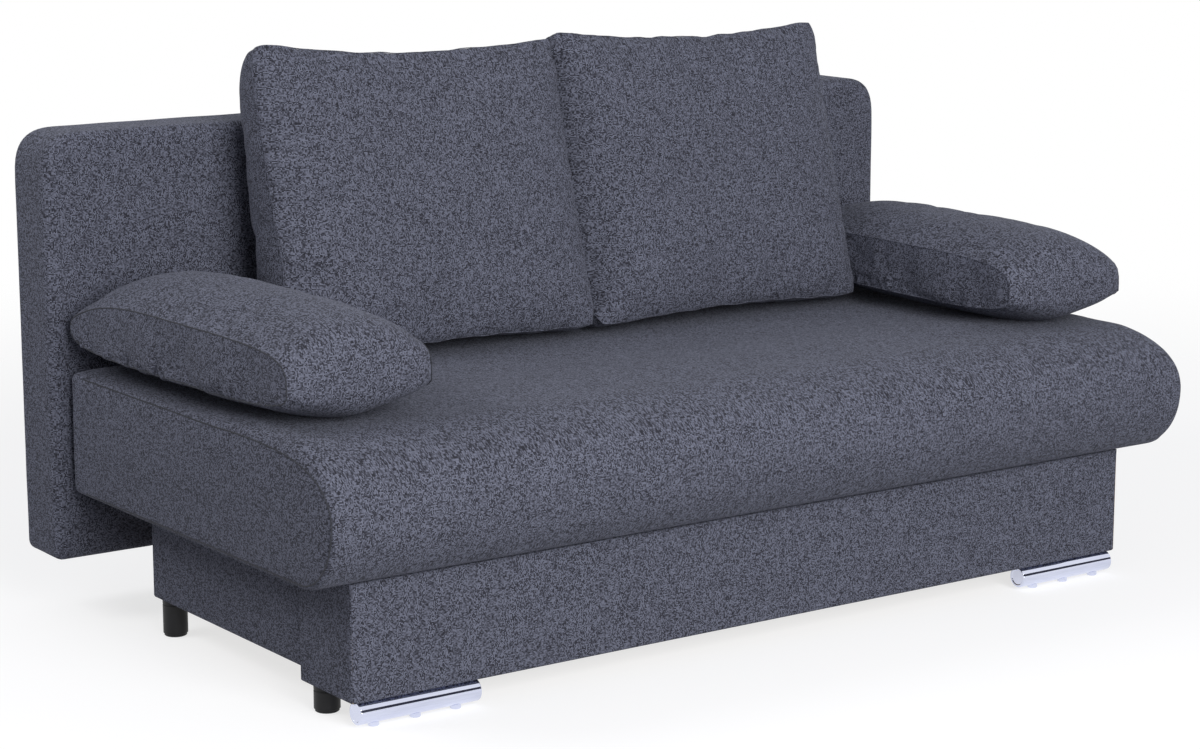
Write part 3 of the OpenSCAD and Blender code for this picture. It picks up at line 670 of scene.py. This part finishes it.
def seat_outline(low, high):
    """Matching points of the top and underside from the tip of the nose to the rear edge."""
    tip_z = low.z + NOSE_HEIGHT
    rise = high.z - tip_z
    rear_r = SEAT_REAR_R
    share = 1 - np.cos(np.linspace(0, pi / 2, NOSE_COLUMNS))
    middle = np.linspace(low.y + NOSE_TOP_RUN, high.y - rear_r, SEAT_COLUMNS)[1:]
    turn = np.linspace(0, pi / 2, SEAT_REAR_COLUMNS)[1:]
    rear = high.y - rear_r + rear_r * np.sin(turn)
    y = np.concatenate([low.y + NOSE_TOP_RUN * share, middle, rear])
    forward = np.clip(1 - (y - low.y) / NOSE_TOP_RUN, 0, 1)
    top = tip_z + rise * (1 - forward**NOSE_SQUARENESS) ** (1 / NOSE_SQUARENESS)
    top = np.maximum(top, tip_z + NOSE_TIP_HALF)
    under = np.clip(1 - (y - low.y) / NOSE_BOTTOM_RUN, 0, 1)
    bottom = np.minimum(tip_z - NOSE_HEIGHT * np.sqrt(1 - under**2), tip_z - NOSE_TIP_HALF)
    back = np.clip((y - (high.y - rear_r)) / rear_r, 0, 1)
    rounding = rear_r * (1 - np.sqrt(1 - back**2))
    return np.stack([y, top - rounding], 1), np.stack([y, bottom + rounding], 1)


def shape_seat(seat, low, high):
    """Drops the top's ends, raises its low crown and makes the fabric a little uneven."""
    points = coordinates_of(seat)
    normals = normals_of(seat)
    end = (high.x - low.x) / 2
    middle_z = low.z + NOSE_HEIGHT
    upper = np.clip((points[:, 2] - middle_z) / (high.z - middle_z), 0, 1)
    drop = SEAT_END_DROP * np.abs(points[:, 0] / end) ** 50
    points[:, 2] -= drop * upper
    crown = sum(
        height * eased((low.y + start - points[:, 1]) / run) for height, start, run in SEAT_CROWNS
    )
    points[:, 2] += crown * upper**0.4 * (1 - np.abs(points[:, 0] / end) ** 80)
    soft = waver(points, 0.22, 0.0020, 1) + waver(points, 0.07, 0.0007, 2)
    clear = np.clip((middle_z + 0.04 - points[:, 2]) / 0.03, 0, 1)
    under = (normals[:, 2] < -0.8) * clear
    points += normals * (soft * (1 - under) - SEAT_INSET * (1 - under))[:, None]
    set_coordinates(seat, points)


def make_seat():
    low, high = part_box("seat_cover")
    top, bottom = seat_outline(low, high)
    base = ring_of(top, bottom, SEAT_ROWS)

    def bulge(share, row, way):
        near_end = min(1.0, 6 * share, 4 * (1 - share) + 0.2)
        return SEAT_END_SWELL * sin(pi * row) ** 0.7 * near_end

    seat = padded_slab(
        "seat_upholstery",
        lambda inset: inset_ring(base, inset),
        len(top),
        SEAT_ROWS,
        edge_layers(low.x, high.x, SEAT_EDGE, SEAT_EDGE, 5, 86),
        lambda u, v, d: (d, u, v),
        bulge,
    )
    shape_seat(seat, low, high)
    frame_low, frame_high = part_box("seat_frame")
    cavity_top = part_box("seat_springs")[1].z + FRAME_SLACK
    slack = Vector((FRAME_SLACK, FRAME_SLACK, 0))
    hem = Vector((FRAME_HEM, FRAME_HEM, 0))
    depth = 0.02
    cavity = (frame_low - slack, Vector((*(frame_high + slack)[:2], cavity_top)))
    opening = (
        frame_low + hem - Vector((0, 0, depth)),
        Vector((*(frame_high - hem)[:2], frame_low.z + depth)),
    )
    cut_boxes(seat, [cavity, opening], 70)
    place_piece(seat, "seat_unit", "upholstery", "seat_cover", "seat_foam")
    add_seat_seams(seat, top, bottom, (high.x - low.x) / 2)


def add_seat_seams(seat, top, bottom, end):
    """A seam round each end of the seat, open at the rear edge."""
    skipped = 8
    path = even_path(np.concatenate([top[::-1][skipped:], bottom[:-skipped]]), 0.006)
    line = path + unit(path.mean(0) - path) * SEAT_EDGE * 0.5
    for side, name in ((-1, "left"), (1, "right")):
        guess = np.stack([np.full(len(line), side * (end + 0.01)), line[:, 0], line[:, 1]], 1)
        laid = snapped(guess, seat, 0.0004)
        # the dark seam material paints the shadow of the sewn groove round each end
        seam = tube("seat_seam_" + name, laid, SEAT_SEAM_R, "seam", closed=False)
        place_piece(seam, "seat_unit", "upholstery")


make_seat()

# ---------- backrest upholstery ----------

BACK_TOP_R = 0.100
BACK_TOP_POWER = 3.2
BACK_FOOT_R = 0.018
BACK_FOOT_LEAST_R = 0.006
BACK_FRONT_EDGE = 0.026
BACK_REAR_EDGE = 0.024
BACK_CORNER_COLUMNS = 16
BACK_COLUMNS = 116
BACK_ROWS = 34
BACK_SWELL = 0.004
BACK_INSET = 0.001
ARM_SLOT = (0.762, 0.798)
ARM_SLOT_HEIGHT = 0.078
TRAY_EDGE = 0.004
OVERCUT = 0.05


def back_outline(low, high, inset):
    """Loop round the backrest's front view, set in from its full size."""
    end = high.x - inset
    top_r = BACK_TOP_R - inset
    foot_r = max(BACK_FOOT_R - inset * 0.6, BACK_FOOT_LEAST_R)
    share = 1 - np.cos(np.linspace(0, pi / 2, BACK_CORNER_COLUMNS))
    inner = np.linspace(-end + top_r, end - top_r, BACK_COLUMNS + 2 - 2 * BACK_CORNER_COLUMNS)[1:-1]
    x = np.concatenate([-end + top_r * share, inner, (end - top_r * share)[::-1]])
    reach = np.clip((np.abs(x) - (end - top_r)) / top_r, 0, 1)
    top = high.z - inset - top_r * (1 - (1 - reach**BACK_TOP_POWER) ** (1 / BACK_TOP_POWER))
    foot = np.clip((np.abs(x) - (end - foot_r)) / foot_r, 0, 1)
    bottom = low.z + inset + foot_r * (1 - np.sqrt(1 - foot**2))
    return ring_of(np.stack([x, top], 1), np.stack([x, bottom], 1), BACK_ROWS)


def make_backrest():
    low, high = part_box("back_cover")

    def bulge(share, row, way):
        if way > 0:
            return 0.0
        across = sin(pi * share) ** 0.3 if 0 < share < 1 else 0
        return BACK_SWELL * across * sin(pi * row) ** 0.5

    back = padded_slab(
        "back_upholstery",
        lambda inset: back_outline(low, high, inset),
        BACK_COLUMNS,
        BACK_ROWS,
        edge_layers(low.y, high.y, BACK_FRONT_EDGE, BACK_REAR_EDGE, 7, 8),
        lambda u, v, d: (u, d, v),
        bulge,
    )
    points = coordinates_of(back)
    soft = waver(points, 0.25, 0.0018, 5) + waver(points, 0.08, 0.0006, 6) - BACK_INSET
    points += normals_of(back) * soft[:, None]
    set_coordinates(back, points)
    slot_top = low.z + ARM_SLOT_HEIGHT
    boxes = [
        ((a, low.y - OVERCUT, low.z - OVERCUT), (b, high.y + OVERCUT, slot_top))
        for a, b in (ARM_SLOT, (-ARM_SLOT[1], -ARM_SLOT[0]))
    ]
    tray_low, tray_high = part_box("leg_recess_tray")
    recess_low = (tray_low.x + TRAY_EDGE, tray_low.y - 0.002, tray_low.z + TRAY_EDGE)
    recess_high = (tray_high.x - TRAY_EDGE, high.y + OVERCUT, tray_high.z - TRAY_EDGE)
    cut_boxes(back, boxes + [(recess_low, recess_high)])
    place_piece(back, "backrest", "upholstery", "back_cover", "back_foam")


make_backrest()

# ---------- plinth and bedding box covers ----------

FABRIC_SKIN = 0.002
PLINTH_CORNER_R = 0.006
PLINTH_HEM = 0.024
PLINTH_LOWER_R = 0.0045
BOX_CORNER_R = 0.004
BOX_OVERCUT = 0.01


def rounded_rectangle(half_u, half_v, radius, steps=6, step=0.03):
    """Points round it, anticlockwise."""
    corners = ((1, 1, 0), (-1, 1, 90), (-1, -1, 180), (1, -1, 270))
    points = []
    for su, sv, start in corners:
        for i in range(steps + 1):
            a = radians(start + 90 * i / steps)
            u = su * (half_u - radius) + radius * cos(a)
            points.append((u, sv * (half_v - radius) + radius * sin(a)))
    points.append(points[0])
    dense = []
    for a, b in zip(points[:-1], points[1:]):
        count = max(int(dist(a, b) / step), 1)
        for i in range(count):
            dense.append((a[0] + (b[0] - a[0]) * i / count, a[1] + (b[1] - a[1]) * i / count))
    return dense


def wrapped_piece(name, low, high, radius, layers, hollow):
    """Fabric round a box. layers are (z, inset) pairs, once round the wall's section if it is
    hollow, and otherwise from the bottom to the top of a closed block."""
    half = np.array([(high.x - low.x) / 2, (high.y - low.y) / 2])
    centre = ((high.x + low.x) / 2, (high.y + low.y) / 2)
    base = np.array(rounded_rectangle(*half, radius))
    points = []
    for z, inset in layers:
        for u, v in base * ((half - inset) / half):
            points.append((centre[0] + u, centre[1] + v, z))
    faces = ring_faces(len(layers), len(base), hollow)
    if not hollow:
        faces += end_faces(len(layers), len(base))
    return new_piece(name, points, faces, "upholstery", 50)


def make_plinth():
    low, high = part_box("plinth_fabric")
    skin, hem, r = FABRIC_SKIN, PLINTH_HEM, PLINTH_LOWER_R
    layers = [(high.z + 0.0007, 0.0015), (high.z, 0.0)]
    layers += [(z, 0.0) for z in np.linspace(high.z, low.z + r, 9)[1:]]
    for t in (radians(30), radians(60), radians(90)):
        layers.append((low.z + r * (1 - sin(t)), r * (1 - cos(t))))
    layers += [(low.z, hem), (low.z + skin * 0.9, hem), (low.z + skin * 0.9, skin)]
    # the upper hem covers the edge of the board under the seat
    layers += [(high.z - 0.001, skin), (high.z + 0.0001, hem), (high.z + 0.0007, hem)]
    plinth = wrapped_piece("plinth_cover", low, high, PLINTH_CORNER_R, layers, hollow=True)
    points = coordinates_of(plinth)
    normals = normals_of(plinth)
    upright = (np.abs(normals[:, 2]) < 0.5).astype(float)
    points += normals * (upright * (waver(points, 0.18, 0.0007, 9) - 0.0004))[:, None]
    set_coordinates(plinth, points)
    smooth(plinth, 50)
    place_piece(plinth, "seat_unit", "upholstery", "plinth_fabric")


def make_box_cover():
    """Fabric over the side boards of the bedding box, open on top and on the inner side."""
    low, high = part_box("box_fabric")
    inner = abs(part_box("box_side_left")[1].x)
    skin, over, r = FABRIC_SKIN, BOX_OVERCUT, BOX_CORNER_R
    for side, name in ((-1, "left"), (1, "right")):
        ends = sorted((side * inner, side * high.x))
        a = Vector((ends[0], low.y, low.z))
        b = Vector((ends[1], high.y, high.z))
        layers = [(a.z, r), (a.z + r * 0.3, r * 0.3), (a.z + r, 0.0)]
        layers += [(z, 0.0) for z in np.linspace(a.z + r, b.z, 8)[1:]]
        cover = wrapped_piece("box_cover_" + name, a, b, r, layers, hollow=False)
        cut_low = (a.x + (skin if side < 0 else -over), a.y + skin, a.z + skin)
        cut_high = (b.x + (over if side < 0 else -skin), b.y - skin, b.z + over)
        cut_boxes(cover, [(cut_low, cut_high)])
        place_piece(cover, "base", "upholstery", *(["box_fabric"] if side > 0 else []))


make_plinth()
make_box_cover()

# ---------- loose cushions ----------

SIMULATED_FRAMES = 16
SWELL_KEPT = 0.25
SWELL_ROUNDS = 60
CLOTH_SLACK = 0.03
LONGEST_MOVE = 0.012


def even_out(piece, values, rounds):
    """values, one vector for each point, averaged with their neighbours."""
    ends = np.array([e.vertices[:] for e in piece.data.edges])
    total = np.zeros(len(values))
    np.add.at(total, ends[:, 0], 1)
    np.add.at(total, ends[:, 1], 1)
    for _ in range(rounds):
        near = np.zeros_like(values)
        np.add.at(near, ends[:, 0], values[ends[:, 1]])
        np.add.at(near, ends[:, 1], values[ends[:, 0]])
        values = 0.5 * values + 0.5 * near / total[:, None]
    return values


def simulate(piece, pinned, crease, seed, seat_z):
    """Lets the cover swell and crease as cloth. The swell is eased, crease times the creases is
    kept, and no point moves further than LONGEST_MOVE or into the seat."""
    rest = coordinates_of(piece)
    uneven = waver(rest, 0.14, 0.0016, seed) + waver(rest, 0.05, 0.0005, seed + 20)
    rough = rest + normals_of(piece) * uneven[:, None]
    set_coordinates(piece, rough)
    group = piece.vertex_groups.new(name="seam")
    group.add([int(i) for i in pinned], 1.0, "REPLACE")
    cloth = piece.modifiers.new("cloth", "CLOTH")
    settings = cloth.settings
    settings.quality = 5
    settings.mass = 0.25
    settings.tension_stiffness = 18
    settings.compression_stiffness = 18
    settings.shear_stiffness = 6
    settings.bending_stiffness = 0.35
    settings.use_pressure = True
    settings.uniform_pressure_force = 3.0
    settings.effector_weights.gravity = 0
    settings.vertex_group_mass = "seam"
    settings.shrink_min = -CLOTH_SLACK
    cloth.collision_settings.use_collision = False
    cloth.collision_settings.use_self_collision = False
    cloth.point_cache.frame_start = 1
    cloth.point_cache.frame_end = SIMULATED_FRAMES
    scene = bpy.context.scene
    for f in range(1, SIMULATED_FRAMES + 1):
        scene.frame_set(f)
    graph = bpy.context.evaluated_depsgraph_get()
    result = coordinates_of(piece.evaluated_get(graph))
    piece.modifiers.clear()
    scene.frame_set(1)
    move = result - rough
    swell = even_out(piece, move, SWELL_ROUNDS)
    move = SWELL_KEPT * swell + crease * (move - swell)
    length = np.linalg.norm(move, axis=1, keepdims=True)
    limit = LONGEST_MOVE * np.tanh(length / LONGEST_MOVE) / np.maximum(length, 1e-9)
    settled = rough + move * limit
    settled[:, 2] = np.maximum(settled[:, 2], seat_z)
    set_coordinates(piece, settled)
    piece.vertex_groups.clear()


def add_subdivision(piece, levels):
    modifier = piece.modifiers.new("subdivision", "SUBSURF")
    modifier.levels = modifier.render_levels = levels
    apply_modifiers(piece)


def fullness(q, squareness):
    return np.sqrt(np.clip(1 - np.abs(q) ** squareness, 0, 1))


PILLOW_LEAN = radians(8)
PILLOW_FRONT = 0.109
PILLOW_REAR = 0.125
PILLOW_SEAM_Y = 0.131
PILLOW_DEPTH = 0.10
PILLOW_COUNT = 61
PILLOW_GAP = 0.006
PILLOW_SEAM_R = 0.0010
# tilt of the top edge, seed of the gathers and seed of the cloth
PILLOW_OWN = {"left": (0.009, 31, 7), "right": (0.003, 32, 8)}


def even_grid(half, squareness):
    """Places from -1 to 1 that lie the same distance apart on a panel's curved section."""
    q = np.sin(np.linspace(-pi / 2, pi / 2, 4001))
    section = np.stack([half * q, PILLOW_DEPTH * fullness(q, squareness)], 1)
    return even_path(section, 0, PILLOW_COUNT)[:, 0] / half


def pillow_panel(half_width, half_height, way, tilt):
    """Local points of one panel on a square grid whose rim is the seam, and how far each is from
    the seam's plane. way is -1 for the front."""
    across = even_grid(half_width, 10)
    upward = even_grid(half_height, 7)
    u, v = np.meshgrid(across, upward, indexing="ij")
    corner = 1 - 0.026 * np.abs(u * v) ** 14
    pull = np.where(v > 0, 0.10, 0.05)
    outer = np.clip(-u, 0, 1) ** 5 * (1 - v**10)
    seam = -0.072 + 0.039 * v + 0.030 * outer
    if way < 0:
        full = fullness(u, np.where(u < 0, 3.2, 5)) * fullness(v, 8)
        reach = -PILLOW_FRONT * (1 - 0.36 * v)
    else:
        full = fullness(u, 15) * fullness(v, np.where(v > 0, 4.5, 8))
        reach = PILLOW_REAR
    depth = seam + (reach - seam) * full
    drawn_in = 0.0015 * np.exp(-(((depth - seam) / 0.009) ** 2))
    x = u * (half_width * (1 - 0.014 * (1 - v**2)) * corner - drawn_in)
    z = v * (half_height * (1 - pull * (1 - u**2)) * corner - drawn_in)
    z -= tilt * u * np.clip(v, 0, 1)
    return np.stack([x, depth, z], -1), depth - seam


def settle(points, behind, backrest_y, seat_z):
    """Flattens a cushion where it rests on the seat and on the backrest. behind is how far each
    point is behind the seam."""
    soft = 0.005
    points[:, 1] = backrest_y - soft * np.log1p(np.exp((backrest_y - points[:, 1]) / soft))
    height = points[:, 2] - seat_z
    under = 1 - np.exp(-((np.clip(behind, 0, None) / 0.03) ** 2))
    height = height * (1 - under * (1 - eased(height / 0.035)))
    points[:, 2] = seat_z + np.maximum(height, 0)
    return points


def make_back_cushion(side):
    low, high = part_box("back_cushion_cover_" + side)
    tilt, gather_seed, cloth_seed = PILLOW_OWN[side]
    half_width = (high.x - low.x) / 2
    half_height = (high.z - low.z) / 2 / cos(PILLOW_LEAN)
    rear_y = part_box("seat_cover")[1].y
    centre = np.array([(high.x + low.x) / 2, rear_y - PILLOW_SEAM_Y, (low.z + high.z) / 2])
    turn = np.array(Matrix.Rotation(-PILLOW_LEAN, 3, "X"))
    count = PILLOW_COUNT
    front, front_behind = pillow_panel(half_width, half_height, -1, tilt)
    rear, rear_behind = pillow_panel(half_width, half_height, 1, tilt)
    inside = [(i, j) for i in range(1, count - 1) for j in range(1, count - 1)]
    index_front = np.arange(count * count).reshape(count, count)
    index_rear = index_front.copy()
    for number, place in enumerate(inside):
        index_rear[place] = count * count + number
    local = np.concatenate([front.reshape(-1, 3), [rear[p] for p in inside]])
    behind = np.concatenate([front_behind.ravel(), [rear_behind[p] for p in inside]])
    points = local @ turn.T + centre
    outward = unit((points - centre) * np.array([1, 0, 1]))
    near_seam = np.exp(-((behind / 0.016) ** 2))
    gather = waver(points, 0.035, 0.0034, gather_seed)
    points += outward * (gather * near_seam)[:, None]
    points = settle(points, behind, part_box("back_cover")[0].y - PILLOW_GAP, low.z)
    faces = []
    for i in range(count - 1):
        for j in range(count - 1):
            a, b, c, d = (i, j), (i, j + 1), (i + 1, j + 1), (i + 1, j)
            faces.append([int(index_front[corner]) for corner in (a, b, c, d)])
            faces.append([int(index_rear[corner]) for corner in (a, d, c, b)])
    body = "back_cushion_" + side
    cushion = new_piece(body, points, faces, "upholstery", 180)
    rim = [int(index_front[place]) for place in rim_places(count, count - 1)]
    simulate(cushion, rim, 0.8, cloth_seed, low.z)
    path = coordinates_of(cushion)[rim]
    add_subdivision(cushion, 1)
    smooth(cushion, 80)
    replaced = ("back_cushion_cover_" + side, "back_cushion_filling_" + side)
    place_piece(cushion, body, "upholstery", *replaced)
    seam = tube("back_cushion_seam_" + side, path, PILLOW_SEAM_R, "upholstery")
    place_piece(seam, body, "upholstery")


LOAF_WIDTH = 0.286
LOAF_LENGTH = 0.797
LOAF_SIDE = 0.146
LOAF_SEAM_Z = 0.074
LOAF_STATIONS = 35
LOAF_AROUND = 112
LOAF_END_RINGS = 9
LOAF_END_SWELL = 0.004
LOAF_GAP = 0.009
LOAF_SEAM_R = 0.0012
# turn on the seat, seed of the cloth and material of the seams; the dark seam material paints the
# shadow of the sewn groove
LOAF_OWN = {
    "left": (radians(1.4), 3, "seam"),
    "right": (radians(2.9), 4, "upholstery"),
}


def signed_power(value, power):
    return np.sign(value) * np.abs(value) ** power


def loaf_ring(s, crown_height):
    """Section of an arm cushion at s from -1 to 1 across it, from its rear end over its top."""
    turn = np.linspace(0, 2 * pi, 1441)
    along, up = np.cos(turn), np.sin(turn)
    crown = (crown_height - LOAF_SIDE) * (1 - abs(s) ** 2.3)
    fall = np.where(along > 0, 0.24, -0.02) * along**2
    rise = (LOAF_SIDE + crown) * (1 - fall) - LOAF_SEAM_Z
    lift = 0.042 * abs(s) ** 1.3 + 0.010 * along**4
    upper = rise * signed_power(up, 0.42)
    lower = (LOAF_SEAM_Z - lift) * signed_power(up, 0.57)
    z = LOAF_SEAM_Z + np.where(up > 0, upper, lower)
    y = (LOAF_LENGTH / 2 - 0.014 * abs(s) ** 6) * signed_power(along, 0.53)
    ring = even_path(np.stack([y, z], 1), 0, LOAF_AROUND + 1)[:-1]
    return np.column_stack([np.full(LOAF_AROUND, s * LOAF_WIDTH / 2), ring])


def loaf_mesh(crown_height):
    """Points and faces of an arm cushion on z = 0, with its middle at x = y = 0."""
    around = LOAF_AROUND
    stations = np.sin(np.linspace(-pi / 2, pi / 2, LOAF_STATIONS))
    grid = np.array([loaf_ring(s, crown_height) for s in stations])
    points = list(grid.reshape(-1, 3))
    faces = []
    for k in range(LOAF_STATIONS - 1):
        for i in range(around):
            j = (i + 1) % around
            a, b = k * around, (k + 1) * around
            faces.append((a + i, b + i, b + j, a + j))
    for k, way in ((0, -1), (LOAF_STATIONS - 1, 1)):
        edge = grid[k]
        middle = np.array([edge[0, 0], 0.0, 0.07])
        previous = [k * around + i for i in range(around)]
        for r in range(1, LOAF_END_RINGS):
            share = 1 - r / LOAF_END_RINGS
            current = []
            for i in range(around):
                p = middle + (edge[i] - middle) * share
                p[0] = edge[i, 0] + way * (LOAF_END_SWELL * (1 - share**3))
                current.append(len(points))
                points.append(p)
            for i in range(around):
                j = (i + 1) % around
                faces.append((previous[i], previous[j], current[j], current[i]))
            previous = current
        faces.append(tuple(previous))
    return points, faces


def pucker(piece, paths, seat_z):
    """Small gathers that run up and down beside the lower part of the end seams."""
    points = coordinates_of(piece)
    seams = KDTree(sum(len(path) for path in paths))
    for number, p in enumerate(np.concatenate(paths)):
        seams.insert(Vector(p), number)
    seams.balance()
    away = np.array([seams.find(Vector(p))[2] for p in points])
    low_down = np.clip((seat_z + 0.125 - points[:, 2]) / 0.07, 0, 1)
    near = np.exp(-((away / 0.030) ** 2)) * low_down * np.clip(away / 0.006, 0, 1)
    place = points * np.array([1 / 0.05, 1 / 0.015, 1 / 0.08])
    fold = np.array([noise.noise(Vector(p)) for p in place])
    patchy = np.array([noise.noise(Vector(p) / 0.13) for p in points])
    points += normals_of(piece) * (near * fold * (0.0058 + 0.0050 * patchy))[:, None]
    points[:, 2] = np.maximum(points[:, 2], seat_z)
    set_coordinates(piece, points)


def make_arm_cushion(side):
    low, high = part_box("arm_cushion_cover_" + side)
    angle, cloth_seed, seam_material = LOAF_OWN[side]
    way = -1 if side == "left" else 1
    rear_x = (high.x + low.x) / 2 + way * LOAF_LENGTH / 2 * sin(angle)
    rear_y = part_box("back_cover")[0].y - LOAF_GAP
    points, faces = loaf_mesh(high.z - low.z)
    placed = []
    for x, y, z in points:
        back = y - LOAF_LENGTH / 2
        turned_x = x * cos(angle) + back * sin(angle)
        turned_y = back * cos(angle) - x * sin(angle)
        placed.append((rear_x + way * turned_x, rear_y + turned_y, low.z + z))
    body = "arm_cushion_" + side
    cushion = new_piece(body, placed, faces, "upholstery", 180)
    starts = [k * LOAF_AROUND for k in (0, LOAF_STATIONS - 1)]
    rims = [start + i for start in starts for i in range(LOAF_AROUND)]
    simulate(cushion, rims, 0.45, cloth_seed, low.z)
    settled = coordinates_of(cushion)
    paths = [settled[start : start + LOAF_AROUND] for start in starts]
    add_subdivision(cushion, 2)
    pucker(cushion, paths, low.z)
    smooth(cushion, 80)
    replaced = ("arm_cushion_cover_" + side, "arm_cushion_filling_" + side)
    place_piece(cushion, body, "upholstery", *replaced)
    for path, name in zip(paths, ("outer", "inner")):
        seam = tube(f"arm_cushion_seam_{side}_{name}", path, LOAF_SEAM_R, seam_material)
        place_piece(seam, body, "upholstery")


for cushion_side in ("left", "right"):
    make_back_cushion(cushion_side)
    make_arm_cushion(cushion_side)

# ---------- feet ----------

AXIS_R = 0.0005
BAR_BEVEL = 0.0022
BAR_CAP_DEPTH = 0.0012
# pairs of inset from the full radius and height above the floor, or drop below the top
FOOT_LOWER = ((0.0035, 0.0), (0.002, 0.0012), (0.002, 0.0045), (0.0, 0.0058))
FOOT_UPPER = ((0.0, 0.009), (0.0012, 0.0082), (0.0012, 0.0068), (0.0, 0.006), (0.0, 0.0))
GLIDE_LOWER = ((0.002, 0.0), (0.0006, 0.0006), (0.0, 0.002))
GLIDE_UPPER = ((0.0, 0.0),)
ROUND_FEET = {
    "plinth_feet": ("seat_unit", "black_plastic", FOOT_LOWER, FOOT_UPPER),
    "box_feet": ("base", "black_plastic", FOOT_LOWER, FOOT_UPPER),
    "chrome_foot_glides": ("seat_unit", "chrome", GLIDE_LOWER, GLIDE_UPPER),
}


def make_chrome_foot(side):
    """A chrome bar whose bevelled ends hold a cap that lies a little deeper."""
    low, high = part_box("chrome_foot_" + side)
    radius = (high.z - low.z) / 2
    length = high.x - low.x
    profile = [(AXIS_R, BAR_CAP_DEPTH), (radius - 0.006, BAR_CAP_DEPTH), (radius - 0.0045, 0.0)]
    for i in range(5):
        t = radians(22.5 * i)
        rim = radius - BAR_BEVEL + BAR_BEVEL * sin(t)
        profile.append((rim, BAR_BEVEL - BAR_BEVEL * cos(t)))
    profile += [(r, length - h) for r, h in profile[::-1]]
    centre = ((low.y + high.y) / 2, (low.z + high.z) / 2)
    bar = lathe("chrome_bar_" + side, profile, (low.x, *centre), (1, 0, 0), "chrome", 96)
    place_piece(bar, "seat_unit", "chrome", "chrome_foot_" + side)


def separate_boxes(node):
    """The lowest and highest corners of each loose solid in a CAD node."""
    work = bmesh.new()
    work.from_mesh(frame["nodes"][node].data)
    bmesh.ops.remove_doubles(work, verts=work.verts, dist=1e-6)
    left = set(work.verts)
    boxes = []
    while left:
        stack = [left.pop()]
        found = list(stack)
        while stack:
            vert = stack.pop()
            for edge in vert.link_edges:
                other = edge.other_vert(vert)
                if other in left:
                    left.remove(other)
                    stack.append(other)
                    found.append(other)
        co = np.array([v.co[:] for v in found])
        boxes.append((Vector(co.min(0)), Vector(co.max(0))))
    work.free()
    boxes.sort(key=lambda b: (round(b[0].x, 3), round(b[0].y, 3)))
    return boxes


def make_round_feet():
    """Black plastic feet under the plinth and the box, and the small glides under the bars."""
    for node, (body, slot_name, lower, upper) in ROUND_FEET.items():
        for number, (low, high) in enumerate(separate_boxes(node)):
            radius = (high.x - low.x) / 2
            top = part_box("plinth_fabric")[0].z if node == "plinth_feet" else high.z
            profile = [(AXIS_R, 0.0)] + [(radius - inset, height) for inset, height in lower]
            profile += [(radius - inset, top - low.z - drop) for inset, drop in upper]
            centre = ((low.x + high.x) / 2, (low.y + high.y) / 2, low.z)
            foot = lathe(f"{node}_{number}", profile, centre, (0, 0, 1), slot_name, 48)
            place_piece(foot, body, slot_name, *([node] if number == 0 else []))


make_chrome_foot("left")
make_chrome_foot("right")
make_round_feet()
